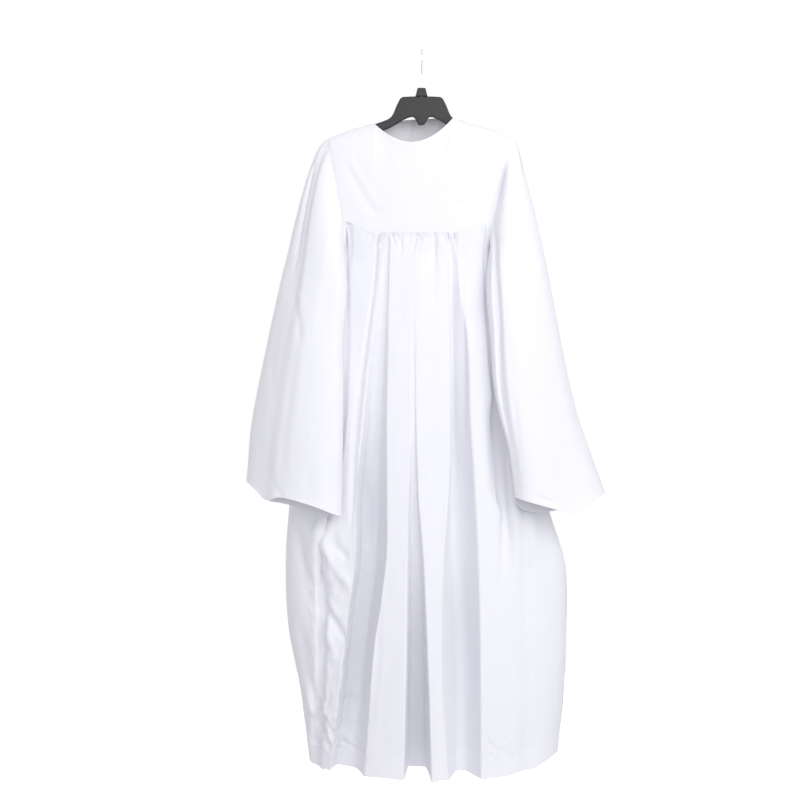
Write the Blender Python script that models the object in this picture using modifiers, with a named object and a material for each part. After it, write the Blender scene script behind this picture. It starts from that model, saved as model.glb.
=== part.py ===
"""White christening gown hanging on a moulded hanger.

The tables are in millimetres and the meshes in metres. +X is the viewer's right, the front of the gown
faces -Y, and +Z is up. The origin is where the underside of the hook's crest rests on its rail.
"""
import math

import bmesh
import bpy
import numpy as np
from mathutils import Vector

MM = 0.001

# Driving sizes
CLOTH = 1.5
SEAM = 0.6
HEM_Z = -1603.0
YOKE_SEAM_Z = -400.0
YOKE_CORNER_RISE = 26.0
GOWN_CENTRE_X = -14.0

SHOULDER_X = 203.0
SHOULDER_Z = -191.0
UNDERARM_Z = -438.0
ARMHOLE_FRONT = 27.0
ARMHOLE_BACK = 24.0
ARMHOLE_ROUNDNESS = 2.6

NECK_CENTRE_X = -17.0
NECK_HALF_WIDTH = 88.0
NECK_FRONT = {"depth": 42.0, "drop": 50.0}
NECK_BACK = {"depth": 34.0, "drop": -6.0}
YOKE_FRONT_DEPTH = 44.0
YOKE_BACK_DEPTH = 36.0
BACK_LAP = 12.0

WIRE_RADIUS = 1.5
HOOK_RADIUS = 22.0
HOOK_STEM_BOTTOM = -102.0
PLATE_HALF = 6.0
ARM_END_X = 196.0
BELOW_SHOULDERS = 1.7
BUTTON_RADIUS = 5.75
BUTTON_THICKNESS = 2.4
BUTTON_PLACES = (0.16, 0.50, 0.84)


def table(columns, rows):
    """Named columns of a short table."""
    return dict(zip(columns.split(), np.array(rows, float).T))


def smooth(xs, ys, x):
    """Cubic curve through the points (xs, ys), read at x. xs may run either way."""
    xs, ys = np.asarray(xs, float), np.asarray(ys, float)
    if xs[0] > xs[-1]:
        xs, ys = xs[::-1], ys[::-1]
    slopes = np.gradient(ys, xs)
    x = np.clip(x, xs[0], xs[-1])
    i = np.clip(np.searchsorted(xs, x) - 1, 0, len(xs) - 2)
    step = xs[i + 1] - xs[i]
    t = (x - xs[i]) / step
    return (
        ys[i] * (1 + 2 * t) * (1 - t) ** 2
        + step * slopes[i] * t * (1 - t) ** 2
        + ys[i + 1] * t * t * (3 - 2 * t)
        - step * slopes[i + 1] * t * t * (1 - t)
    )


def ease(t):
    """0 to 1 with flat ends."""
    t = np.clip(t, 0, 1)
    return t * t * (3 - 2 * t)


def mix(a, b, t):
    return a + (b - a) * t


# Upper edge of the hanger, on which the shoulders lie
HANGER_TOP = table("x z", [
    (47.5, -103.0),
    (53.0, -113.0),
    (58.0, -125.0),
    (63.0, -137.0),
    (67.0, -142.5),
    (72.0, -146.5),
    (84.0, -152.0),
    (103.0, -158.5),
    (150.0, -171.0),
    (203.0, -191.0),
])

# Lower edge of the hanger, from the tongue to the arm's end
HANGER_BOTTOM = table("x z", [
    (25.0, -144.5),
    (40.0, -151.0),
    (58.0, -162.0),
    (75.0, -171.0),
    (103.0, -179.0),
    (150.0, -190.0),
    (196.0, -206.0),
])

# Armhole seams: where each one lies across the gown. fall runs from 0 at the shoulder to 1 at the underarm
ARMHOLES = {
    "left": table("fall front back", [
        (0.00, -203, -203),
        (0.19, -197, -197),
        (0.35, -191, -191),
        (0.52, -183, -184),
        (0.72, -173, -176),
        (0.85, -171, -174),
        (1.00, -173, -173),
    ]),
    "right": table("fall front back", [
        (0.00, 203, 203),
        (0.19, 185, 190),
        (0.35, 173, 180),
        (0.52, 161, 168),
        (0.72, 149, 157),
        (0.85, 148, 154),
        (1.00, 153, 153),
    ]),
}

# Skirt outline: its two side seams, and how far front and back stand out from the side seams' plane
SKIRT = table("z left right front back", [
    (-440, -173, 153, 46, 38),
    (-520, -172, 154, 54, 44),
    (-575, -182, 164, 60, 48),
    (-640, -208, 190, 66, 52),
    (-773, -262, 238, 78, 60),
    (-1002, -297, 284, 98, 76),
    (-1152, -307, 327, 114, 86),
    (-1280, -302, 331, 126, 94),
    (-1452, -273, 326, 139, 102),
    (-1603, -255, 312, 148, 108),
])

# Deep folds of the skirt. Each is a valley, given at these heights: its place, its depth, and how far its
# left and right rims lie from its deepest line
FOLD_HEIGHTS = (-400, -600, -800, -1000, -1300, -1603)
FRONT_FOLDS = [
    {
        "x": (-167, -165, -172, -196, -212, -232),
        "depth": (8, 9, 8, 14, 22, 20),
        "left": (5, 9, 14, 20, 24, 24),
        "right": (6, 9, 12, 16, 22, 22),
    },
    {
        "x": (-96, -104, -120, -142, -160, -204),
        "depth": (8, 16, 16, 4, 0, 0),
        "left": (7, 10, 10, 8, 6, 5),
        "right": (7, 10, 9, 5, 4, 4),
    },
    {
        "x": (-73, -76, -90, -110, -129, -170),
        "depth": (9, 22, 44, 70, 84, 74),
        "left": (8, 14, 18, 25, 26, 30),
        "right": (7, 10, 23, 40, 34, 38),
    },
    {
        "x": (-24, -23, -20, -18, -14, -11),
        "depth": (4, 7, 14, 44, 84, 96),
        "left": (6, 7, 8, 15, 30, 38),
        "right": (6, 7, 8, 15, 30, 38),
    },
    {
        "x": (63, 66, 72, 74, 84, 108),
        "depth": (9, 26, 44, 62, 72, 78),
        "left": (8, 11, 12, 15, 24, 36),
        "right": (7, 10, 15, 44, 44, 20),
    },
    {
        "x": (85, 96, 106, 124, 132, 136),
        "depth": (6, 18, 26, 4, 0, 0),
        "left": (8, 11, 12, 5, 4, 4),
        "right": (8, 12, 14, 6, 5, 5),
    },
    {
        "x": (141, 157, 174, 182, 172, 160),
        "depth": (6, 16, 34, 34, 8, 14),
        "left": (7, 14, 13, 18, 22, 20),
        "right": (4, 12, 22, 26, 24, 22),
    },
    {
        "x": (145, 168, 205, 232, 238, 236),
        "depth": (0, 0, 8, 16, 18, 20),
        "left": (3, 5, 10, 22, 28, 30),
        "right": (3, 5, 14, 22, 30, 30),
    },
]
BACK_FOLDS = [
    {
        "x": (-120, -135, -160, -175, -186, -176),
        "depth": (8, 14, 22, 30, 38, 36),
        "left": (9, 14, 20, 24, 28, 30),
        "right": (9, 14, 20, 26, 30, 28),
    },
    {
        "x": (-72, -78, -88, -96, -108, -112),
        "depth": (8, 20, 34, 46, 56, 54),
        "left": (9, 13, 18, 24, 24, 28),
        "right": (9, 13, 20, 26, 30, 32),
    },
    {
        "x": (-22, -24, -28, -32, -36, -36),
        "depth": (7, 12, 18, 26, 42, 54),
        "left": (8, 10, 13, 16, 22, 28),
        "right": (8, 10, 13, 18, 26, 30),
    },
    {
        "x": (20, 24, 27, 30, 34, 40),
        "depth": (8, 20, 34, 44, 54, 58),
        "left": (9, 13, 17, 20, 24, 28),
        "right": (9, 13, 19, 26, 30, 32),
    },
    {
        "x": (66, 74, 86, 96, 108, 118),
        "depth": (8, 15, 24, 36, 48, 50),
        "left": (9, 13, 18, 22, 28, 30),
        "right": (9, 13, 18, 24, 30, 32),
    },
    {
        "x": (104, 124, 150, 176, 202, 208),
        "depth": (8, 12, 22, 28, 38, 36),
        "left": (9, 14, 20, 26, 30, 32),
        "right": (9, 14, 22, 30, 36, 34),
    },
]

# Short gathers just under the yoke: place at the seam, depth, and how far down each one runs
FRONT_GATHERS = table("x depth length", [
    (-151, 5.0, 90),
    (-116, 4.0, 80),
    (-60, 5.5, 70),
    (-44, 4.0, 50),
    (-10, 4.5, 50),
    (5, 5.0, 75),
    (30, 6.5, 160),
    (47, 5.0, 60),
    (105, 4.5, 75),
    (121, 5.0, 70),
])
BACK_GATHERS = table("x depth length", [
    (-158, 4.0, 60),
    (-144, 4.5, 85),
    (-98, 4.5, 60),
    (-47, 4.5, 75),
    (-2, 4.5, 60),
    (38, 4.5, 80),
    (48, 4.0, 55),
    (84, 4.5, 75),
    (120, 4.5, 60),
    (138, 5.0, 95),
])
FOLD_START = 20.0
LEAST_COLUMN = 1.2
WIDEST_COLUMN = 9.0
DEEPEST_SHARE = 0.82

# Rows of cloth, closer together near the seams, where it bends most: millimetres down the yoke and down
# each skirt panel, and shares of the way down a sleeve
YOKE_ROWS = np.array([0, 0.35, 1.4, 4, 9, 22, 50, 86, 126, 168, 209])
SKIRT_ROWS = {
    "front": np.array([0, 4, 13, 28, 55, 100, 175, 295, 450, 640, 830, 1020, 1203]),
    "back": np.array([0, 5, 16, 44, 110, 230, 400, 610, 840, 1030, 1203]),
}
SLEEVE_ROWS = np.array([0, 0.02, 0.05, 0.09, 0.14, 0.22, 0.32, 0.44, 0.56, 0.68, 0.80, 0.91, 1.0])

# Columns across a fold, from its deepest line to its rim, and up an armhole from the yoke's corner
IN_SKIRT_FOLD = (0, 0.3, 0.65, 1)
IN_SLEEVE_FOLD = (-1, -0.65, -0.3, 0, 0.3, 0.65, 1)
IN_ARMHOLE = (0, 0.1, 0.3, 0.6, 1)

# Sleeves, row by row from armhole to hem: the outer edge, the inner edge, and how far the cloth
# stands in front of and behind the line between them. tail lowers the back hem.
SLEEVES = {
    "left": table("share ox oy oz ix iy iz front back tail", [
        (0.00, -203, 0, -191, -175, 0, -440, 27, 24, 0),
        (0.05, -221, 2, -200, -181, -8, -458, 30, 22, 0),
        (0.14, -243, 4, -245, -177, -32, -512, 36, 18, 0),
        (0.38, -300, 6, -447, -173, -54, -640, 48, 10, 0),
        (0.60, -345, 5, -640, -172, -70, -765, 56, 7, 0),
        (0.81, -379, 0, -810, -174, -84, -893, 60, 6, 2),
        (1.00, -393, -8, -954, -176, -94, -1021, 60, 6, 14),
    ]),
    "right": table("share ox oy oz ix iy iz front back tail", [
        (0.00, 203, 0, -191, 155, 0, -440, 27, 24, 0),
        (0.05, 214, 0, -202, 160, -10, -460, 30, 22, 0),
        (0.14, 226, 0, -252, 150, -36, -512, 36, 18, 0),
        (0.38, 270, -2, -430, 152, -56, -630, 46, 10, 0),
        (0.60, 309, -4, -625, 162, -70, -755, 54, 7, 0),
        (0.81, 354, -6, -815, 192, -84, -880, 60, 7, 6),
        (1.00, 414, -10, -980, 206, -88, -980, 60, 14, 56),
    ]),
}

# How far the front hem of each sleeve hangs below the straight line from its outer to its inner corner
SLEEVE_HEMS = {
    "left": table("across drop", [
        (0.00, 0),
        (0.10, 11),
        (0.22, 22),
        (0.34, 15),
        (0.60, 8),
        (0.85, 3),
        (1.00, 0),
    ]),
    "right": table("across drop", [
        (0.00, 0),
        (0.12, 10),
        (0.27, 27),
        (0.38, 35),
        (0.60, 23),
        (0.85, 8),
        (1.00, 0),
    ]),
}

# Folds along the sleeves, at their seven rows. around runs from 0 at the outer edge to 0.5 at the inner
# edge over the front, and on to 1 over the back. half is how far each rim lies from the deepest line.
SLEEVE_FOLDS = {
    "left": [
        {
            "around": (0.07, 0.08, 0.09, 0.15, 0.19, 0.21, 0.20),
            "depth": (0, 7, 13, 13, 9, 8, 10),
            "half": (0.04, 0.04, 0.04, 0.05, 0.05, 0.05, 0.05),
        },
        {
            "around": (0.30, 0.30, 0.30, 0.31, 0.33, 0.34, 0.34),
            "depth": (0, 3, 5, 5, 7, 9, 10),
            "half": (0.05, 0.05, 0.05, 0.05, 0.05, 0.05, 0.05),
        },
        {
            "around": (0.74, 0.74, 0.74, 0.76, 0.78, 0.78, 0.78),
            "depth": (0, 4, 6, 5, 3, 3, 3),
            "half": (0.06, 0.06, 0.06, 0.06, 0.06, 0.06, 0.06),
        },
    ],
    "right": [
        {
            "around": (0.13, 0.13, 0.14, 0.16, 0.17, 0.18, 0.20),
            "depth": (0, 5, 7, 6, 7, 8, 8),
            "half": (0.05, 0.05, 0.05, 0.05, 0.05, 0.05, 0.05),
        },
        {
            "around": (0.31, 0.33, 0.35, 0.345, 0.345, 0.36, 0.39),
            "depth": (0, 9, 15, 17, 16, 12, 6),
            "half": (0.04, 0.04, 0.045, 0.045, 0.045, 0.045, 0.045),
        },
        {
            "around": (0.74, 0.74, 0.74, 0.76, 0.78, 0.78, 0.78),
            "depth": (0, 4, 6, 5, 3, 3, 3),
            "half": (0.06, 0.06, 0.06, 0.06, 0.06, 0.06, 0.06),
        },
    ],
}


def collection_named(name):
    made = bpy.data.collections.new(name)
    bpy.context.scene.collection.children.link(made)
    return made


def material(name, colour, roughness, metallic=0.0):
    made = bpy.data.materials.new(name)
    made.use_nodes = True
    shader = made.node_tree.nodes["Principled BSDF"]
    shader.inputs["Base Color"].default_value = (*colour, 1.0)
    shader.inputs["Roughness"].default_value = roughness
    shader.inputs["Metallic"].default_value = metallic
    return made


def place(mesh, name, collection, finish):
    obj = bpy.data.objects.new(name, mesh)
    collection.objects.link(obj)
    mesh.materials.append(finish)
    return obj


def cloth(name, points, collection, finish, tube=False):
    """A wall of cloth through a grid of points, rows down and columns across."""
    rows, columns = points.shape[:2]
    bm = bmesh.new()
    verts = [[bm.verts.new(Vector(p) * MM) for p in row] for row in points]
    for r in range(rows - 1):
        for c in range(columns if tube else columns - 1):
            d = (c + 1) % columns
            bm.faces.new((verts[r][c], verts[r][d], verts[r + 1][d], verts[r + 1][c]))
    bmesh.ops.recalc_face_normals(bm, faces=bm.faces)
    mesh = bpy.data.meshes.new(name)
    bm.to_mesh(mesh)
    bm.free()
    mesh.shade_smooth()
    obj = place(mesh, name, collection, finish)
    wall = obj.modifiers.new("wall", "SOLIDIFY")
    wall.thickness = CLOTH * MM
    wall.offset = 0.0
    return obj


def hanger_top(x):
    return smooth(HANGER_TOP["x"], HANGER_TOP["z"], np.abs(x))


def fall_at(z):
    """How far down the armhole the height z is, from 0 to 1."""
    return (SHOULDER_Z - z) / (SHOULDER_Z - UNDERARM_Z)


CORNER_FALL = fall_at(YOKE_SEAM_Z + YOKE_CORNER_RISE)
CORNER_TURN = math.acos(1 - 2 * CORNER_FALL)


def standing(fall):
    """How far the armhole stands open in front and behind: 0 at both its ends, and 1 halfway."""
    power = ARMHOLE_ROUNDNESS
    return np.clip(1 - np.abs(1 - 2 * fall) ** power, 0, 1) ** (1 / power)


def armhole(side, face, turn):
    """Points on one half of an armhole seam. turn is 0 at the shoulder and pi at the underarm."""
    fall = (1 - np.cos(turn)) / 2
    depth = -ARMHOLE_FRONT if face == "front" else ARMHOLE_BACK
    return np.stack([
        smooth(ARMHOLES[side]["fall"], ARMHOLES[side][face], fall),
        depth * standing(fall),
        mix(SHOULDER_Z, UNDERARM_Z, fall),
    ], -1)


def corner(side, face):
    return armhole(side, face, np.array(CORNER_TURN))


def yoke_seam_z(x):
    """The seam under the yoke is level, and rises in a curve to each armhole."""
    return YOKE_SEAM_Z + YOKE_CORNER_RISE * ease((np.abs(x - GOWN_CENTRE_X) - 92) / 66)


def neck(x):
    """How far into the neck x is: 0 outside it, and 1 at its middle."""
    return np.clip(1 - ((x - NECK_CENTRE_X) / NECK_HALF_WIDTH) ** 2, 0, 1)


def shoulder_line(x):
    """Height of the shoulder seams, carried straight across the neck."""
    left = NECK_CENTRE_X - NECK_HALF_WIDTH
    right = NECK_CENTRE_X + NECK_HALF_WIDTH
    across = mix(hanger_top(left), hanger_top(right), (x - left) / (right - left))
    return np.where((x > left) & (x < right), across, hanger_top(x))


def chest(face, u, fall):
    """How far the gown stands out over the chest or the back. u runs from -1 to 1, fall from 0 to 1."""
    depth = YOKE_FRONT_DEPTH if face == "front" else YOKE_BACK_DEPTH
    edge = ARMHOLE_FRONT if face == "front" else ARMHOLE_BACK
    full = mix(edge, depth, np.clip(1 - u**2, 0, 1) ** 0.8)
    inside = np.where(fall < 0.5, standing(fall), 1.0)
    return full, mix(inside, standing(fall), u**8)


def yoke(face, u):
    """Grid of a yoke. face is front or back, and u runs from -1 at the left armhole to 1 at the right."""
    shape = NECK_FRONT if face == "front" else NECK_BACK
    share = (YOKE_ROWS / YOKE_ROWS[-1])[:, None]
    left, right = (
        smooth(ARMHOLES[side]["fall"], ARMHOLES[side][face], share * CORNER_FALL) for side in ARMHOLES
    )
    x = mix(left, right, (u + 1) / 2)
    across = neck(x[0])
    neck_depth = shape["depth"] * across ** (0.5 + 6 * share)
    top_z = shoulder_line(x[0]) - shape["drop"] * across
    z = mix(top_z, yoke_seam_z(x[-1]) + SEAM / 2, share)
    full, roundness = chest(face, u, fall_at(SHOULDER_Z - top_z + z))
    y = SEAM / 2 + neck_depth + (full - neck_depth) * roundness
    return np.stack([x, -y if face == "front" else y, z], -1)


FOLDS = {"front": FRONT_FOLDS, "back": BACK_FOLDS}
GATHERS = {"front": FRONT_GATHERS, "back": BACK_GATHERS}


def spaced(x, least):
    """Lines pushed apart, so that each one lies at least this far to the right of the last."""
    for k in range(1, x.shape[-1] - 1):
        x[..., k] = np.maximum(x[..., k], x[..., k - 1] + least)
    for k in range(x.shape[-1] - 2, 0, -1):
        x[..., k] = np.minimum(x[..., k], x[..., k + 1] - least)
    return x


def skirt_lines(face, z, left, right):
    """Where the lines of a skirt panel lie at the heights z: side seam, three lines to a fold, side seam."""
    lines = [left]
    for fold in FOLDS[face]:
        x, to_left, to_right = (smooth(FOLD_HEIGHTS, fold[name], z) for name in ("x", "left", "right"))
        lines += [x - to_left, x, x + to_right]
    return spaced(np.stack(np.broadcast_arrays(*lines, right), -1), LEAST_COLUMN)


def along(lines, c):
    """Place at c between numbered lines: 0 is the first line, and 1.5 lies halfway to the third."""
    i = np.clip(np.floor(c).astype(int), 0, lines.shape[-1] - 2)
    i = np.broadcast_to(i, lines.shape[:-1])[..., None]
    before, after = (np.take_along_axis(lines, i + step, -1)[..., 0] for step in (0, 1))
    return mix(before, after, c - i[..., 0])


def seam_lines(face):
    """The lines of a skirt panel where they start, along the yoke seam."""
    left, right = (corner(side, face)[0] for side in ARMHOLES)
    return skirt_lines(face, np.array(YOKE_SEAM_Z), left, right)


def gather_places(face):
    """Each gather's place among the numbered lines, and the middles between it and its neighbours."""
    lines = seam_lines(face)
    last = len(lines) - 1
    place = np.interp(GATHERS[face]["x"], lines, np.arange(last + 1))
    place = np.where(place < 1, 0.5 + place / 2, np.where(place > last - 1, (last - 1 + place) / 2, place))
    fixed = [0.5, last - 0.5]
    for k in range(len(FOLDS[face])):
        fixed += [3 * k + 1, 3 * k + 3]
    around = [
        (max([(p + q) / 2 for q in place if q < p] + [f for f in fixed if f < p]),
         min([(p + q) / 2 for q in place if q > p] + [f for f in fixed if f > p]))
        for p in place
    ]
    return place, np.array(around)


def skirt_columns(face):
    """Columns that follow the folds and the gathers of a panel."""
    last = 3 * len(FOLDS[face]) + 1
    place, around = gather_places(face)
    marks = [*place, *around.ravel(), 0.75, last - 0.75, *np.arange(3.5, last - 2, 3)]
    middles = [3 * k + 2 for k in range(len(FOLDS[face]))]
    marks += [middle + side * t for middle in middles for t in IN_SKIRT_FOLD for side in (-1, 1)]
    marks += [end + side * t / 2 for end, side in ((0, 1), (last, -1)) for t in IN_ARMHOLE]
    marks = np.sort(marks)
    marks = marks[np.insert(np.diff(marks) > 0.03, 0, True)]
    apart = np.diff(skirt_top(face, marks)[:, 0])
    return np.sort([*marks, *((marks[1:] + marks[:-1]) / 2)[apart > WIDEST_COLUMN]])


def pressed_in(face, c, z, down):
    """How deep the folds and gathers lie at column c and height z."""
    total = np.zeros(np.broadcast(c, z).shape)
    for k, fold in enumerate(FOLDS[face]):
        side = np.clip(np.abs(c - 3 * k - 2), 0, 1)
        depth = np.clip(smooth(FOLD_HEIGHTS, fold["depth"], z), 0, None)
        total = total + depth * ease((1 - side) / 0.86)
    gathers = GATHERS[face]
    shapes = zip(*gather_places(face), gathers["depth"], gathers["length"])
    for place, (before, after), depth, length in shapes:
        side = np.where(c < place, (place - c) / (place - before), (c - place) / (after - place))
        total = total + depth * ease(1 - side) * ease(1 - down / length)
    return total * ease(down / FOLD_START)


def skirt_top(face, c):
    """Top edge of a skirt panel: up the left armhole, along the yoke seam, and down the right armhole."""
    lines = seam_lines(face)
    last = len(lines) - 1
    on_seam = np.where(c < 1, 2 * c - 1, np.where(c > last - 1, 2 * c - last + 1, c))
    on_seam = np.clip(on_seam, 0, last)
    x = along(np.broadcast_to(lines, (len(c), last + 1)), on_seam)
    u = 2 * (x - lines[0]) / (lines[-1] - lines[0]) - 1
    z = yoke_seam_z(x) - SEAM / 2
    full, roundness = chest(face, u, fall_at(z))
    points = np.stack([x, (SEAM / 2 + full * roundness) * (-1 if face == "front" else 1), z], -1)
    for side, past in (("left", 0.5 - c), ("right", c - last + 0.5)):
        turn = mix(CORNER_TURN, math.pi, np.clip(past / 0.5, 0, 1))
        points = np.where((past > 0)[:, None], armhole(side, face, turn), points)
    return points


def skirt(face, c, falls):
    """Grid of a skirt panel. c is a place among its numbered lines, and falls runs from 0 to 1 at the hem."""
    top = skirt_top(face, c)
    z = mix(top[:, 2], HEM_Z, falls[:, None])
    down = top[:, 2] - z
    left, right = (smooth(SKIRT["z"], SKIRT[side], z) for side in ("left", "right"))
    x = mix(top[:, 0], along(skirt_lines(face, z, left, right), c), ease(down / 80))
    across = np.clip(np.abs(2 * (x - left) / (right - left) - 1), 0, 1)
    stand = smooth(SKIRT["z"], SKIRT[face], z) * (1 - across**1.3) ** 0.5
    level = mix(np.abs(top[:, 1]), stand, ease(down / 90))
    pressed = np.minimum(pressed_in(face, c, z, down), DEEPEST_SHARE * level)
    y = np.clip(level - pressed, 0.7 * SEAM, None)
    return np.stack([x, -y if face == "front" else y, z], -1)


def sleeve_lines(side, shares):
    """How far round the lines of a sleeve lie: outer edge, three to a front fold, inner edge, back fold."""
    rows = SLEEVES[side]["share"]
    lines = [0 * shares]
    for fold in SLEEVE_FOLDS[side]:
        around, half = (smooth(rows, fold[name], shares) for name in ("around", "half"))
        if around[0] > 0.5 and len(lines) == 7:
            lines.append(0 * shares + 0.5)
        lines += [around - half, around, around + half]
    return np.stack([*lines, 0 * shares + 1], -1)


def sleeve(side, c, shares):
    """Grid of a sleeve: c is a place among its numbered lines, and shares runs from 0 to 1 at the hem."""
    shape = SLEEVES[side]
    read = {name: smooth(shape["share"], shape[name], shares)[:, None] for name in shape}
    lines = sleeve_lines(side, shares)[:, None, :]
    turns = along(np.broadcast_to(lines, (len(shares), len(c), lines.shape[-1])), c)
    angle = 2 * math.pi * turns
    across = (1 - np.cos(angle)) / 2
    front, back = np.clip(np.sin(angle), 0, 1), np.clip(-np.sin(angle), 0, 1)
    x = mix(read["ox"], read["ix"], across)
    y = mix(read["oy"], read["iy"], across) - read["front"] * front + read["back"] * back
    hem = SLEEVE_HEMS[side]
    dip = np.where(turns < 0.5, smooth(hem["across"], hem["drop"], across), 0) * ease(shares * 2 - 1)[:, None]
    z = mix(read["oz"], read["iz"], across) - dip - read["tail"] * back * (0.3 + 0.7 * across)
    for middle, fold in zip((2, 5, 9), SLEEVE_FOLDS[side]):
        depth = np.clip(smooth(shape["share"], fold["depth"], shares), 0, None)[:, None]
        inward = 1 if middle < 7 else -1
        y = y + inward * depth * ease((1 - np.clip(np.abs(c - middle), 0, 1)) / 0.9)
    half_turn = np.where(turns < 0.5, angle, 2 * math.pi - angle)
    in_front = (turns < 0.5)[..., None]
    seam = np.where(in_front, armhole(side, "front", half_turn), armhole(side, "back", half_turn))
    outward = -1 if side == "left" else 1
    seam[..., 0] += outward * (1.7 * SEAM + CLOTH * ease((across - 0.62) / 0.12))
    seam[..., 1] += SEAM / 2 * np.sign(turns - 0.5) * ease(half_turn)
    joined = np.sin(np.clip(shares / 0.14, 0, 1) * math.pi / 2)[:, None, None]
    return mix(seam, np.stack([x, y, z], -1), joined)


def sleeve_ring():
    """Columns round a sleeve: close together in its three folds and near the underarm."""
    in_fold = [middle + t for middle in (2, 5, 9) for t in IN_SLEEVE_FOLD]
    return np.array(sorted([0, 0.33, 0.67, 3.5, 6.25, 6.5, 6.75, 7, 7.25, 7.5, 7.75, 10.33, 10.67, *in_fold]))


def outline_plate(name, outline, half, collection, finish, rounding):
    """A flat plate with this outline, x and z in millimetres. The rims of its two faces are rounded."""
    bm = bmesh.new()
    face = bm.faces.new([bm.verts.new((x * MM, half * MM, z * MM)) for x, z in outline])
    moved = bmesh.ops.extrude_face_region(bm, geom=[face])["geom"]
    verts = [v for v in moved if isinstance(v, bmesh.types.BMVert)]
    bmesh.ops.translate(bm, verts=verts, vec=(0, -2 * half * MM, 0))
    bmesh.ops.recalc_face_normals(bm, faces=bm.faces)
    rims = [e for e in bm.edges if abs(e.verts[0].co.y - e.verts[1].co.y) < half * MM]
    bmesh.ops.bevel(bm, geom=rims, offset=rounding * MM, segments=2, profile=0.5, affect="EDGES")
    mesh = bpy.data.meshes.new(name)
    bm.to_mesh(mesh)
    bm.free()
    return place(mesh, name, collection, finish)


def cutter(name, collection, size, at, round_piece=False):
    """A box or a round bar that is taken out of another piece. size is x, y and z in millimetres."""
    bm = bmesh.new()
    if round_piece:
        bmesh.ops.create_cone(
            bm, cap_ends=True, segments=16, radius1=size[0] * MM, radius2=size[0] * MM, depth=size[2] * MM
        )
    else:
        bmesh.ops.create_cube(bm, size=1.0)
        bmesh.ops.scale(bm, verts=bm.verts, vec=Vector(size) * MM)
    bmesh.ops.translate(bm, verts=bm.verts, vec=Vector(at) * MM)
    mesh = bpy.data.meshes.new(name)
    bm.to_mesh(mesh)
    bm.free()
    obj = bpy.data.objects.new(name, mesh)
    collection.objects.link(obj)
    obj.hide_render = True
    obj.display_type = "WIRE"
    return obj


def cut(obj, tool):
    less = obj.modifiers.new("less_" + tool.name, "BOOLEAN")
    less.operation = "DIFFERENCE"
    less.object = tool


def half_outline_of_hanger():
    """Right half of the hanger's outline, from the neck's top down to the tongue."""
    top_x = (47.5, 55, 62, 66, 70, 76, 84, 103, 126, 150, 176, ARM_END_X)
    top = [(x, float(hanger_top(x)) - BELOW_SHOULDERS) for x in top_x]
    end = [(ARM_END_X + 4, -197.0), (ARM_END_X + 3.5, -204.5), (ARM_END_X - 2, -208.0)]
    low_x = (185, 150, 126, 103, 88, 75, 66, 58, 49, 40, 32, 25)
    low = [(x, float(smooth(HANGER_BOTTOM["x"], HANGER_BOTTOM["z"], x))) for x in low_x]
    neck_piece = [(5.0, -86.0), (5.0, -99.5), (26.0, -100.0), (41.5, -100.8)]
    tongue = [(18.0, -144.5), (13.5, -148.5), (10.0, -155.0), (7.5, -160.0), (4.0, -162.0)]
    return neck_piece + top + end + low + tongue


def hanger(parts, cutters, finish):
    half = half_outline_of_hanger()
    outline = half + [(-x, z) for x, z in reversed(half)]
    obj = outline_plate("hanger_body", outline, PLATE_HALF, parts, finish, 2.2)
    bore_depth = 30.0
    middle = HOOK_STEM_BOTTOM - SEAM + bore_depth / 2
    cut(obj, cutter("hook_bore", cutters, (WIRE_RADIUS + SEAM, 0, bore_depth), (0, 0, middle), True))
    return obj


def size_clip(parts, cutters, finish):
    """Small cap that snaps over the hanger's neck. It is left bare."""
    outline = [(-7.5, -81.4), (7.5, -81.4), (9.3, -83.5), (13.2, -99.1), (-13.2, -99.1), (-9.3, -83.5)]
    obj = outline_plate("size_clip", outline, PLATE_HALF + 2.0, parts, finish, 0.8)
    pocket_top = -85.6
    height = 20.0
    cut(obj, cutter("neck_pocket", cutters, (10.8, 12.8, height), (0, 0, pocket_top - height / 2)))
    cut(obj, cutter("wire_hole", cutters, (WIRE_RADIUS + SEAM, 0, 12.0), (0, 0, -84.0), True))
    return obj


def hook(parts, finish):
    """Wire hook, turned edge-on to the viewer: a straight stem, a bend, and the round of the hook."""
    centre_z = WIRE_RADIUS - HOOK_RADIUS
    join = math.radians(-48)
    path = [(0.0, HOOK_STEM_BOTTOM), (0.0, -80.0), (0.0, -62.0)]
    end = (HOOK_RADIUS * math.cos(join), centre_z + HOOK_RADIUS * math.sin(join))
    pull = 14.0
    start = path[-1]
    first = (start[0], start[1] + pull)
    last = (end[0] + pull * math.sin(join), end[1] - pull * math.cos(join))
    for i in range(1, 8):
        t = i / 8
        weights = ((1 - t) ** 3, 3 * t * (1 - t) ** 2, 3 * t * t * (1 - t), t**3)
        path.append(tuple(sum(w * p[k] for w, p in zip(weights, (start, first, last, end))) for k in (0, 1)))
    for degrees in range(-48, 213, 13):
        angle = math.radians(degrees)
        path.append((HOOK_RADIUS * math.cos(angle), centre_z + HOOK_RADIUS * math.sin(angle)))
    curve = bpy.data.curves.new("hanger_hook", "CURVE")
    curve.dimensions = "3D"
    curve.bevel_depth = WIRE_RADIUS * MM
    curve.bevel_resolution = 2
    curve.use_fill_caps = True
    spline = curve.splines.new("POLY")
    spline.points.add(len(path) - 1)
    for point, (y, z) in zip(spline.points, path):
        point.co = (0, y * MM, z * MM, 1)
    obj = bpy.data.objects.new("hanger_hook", curve)
    parts.objects.link(obj)
    curve.materials.append(finish)
    return obj


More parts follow.
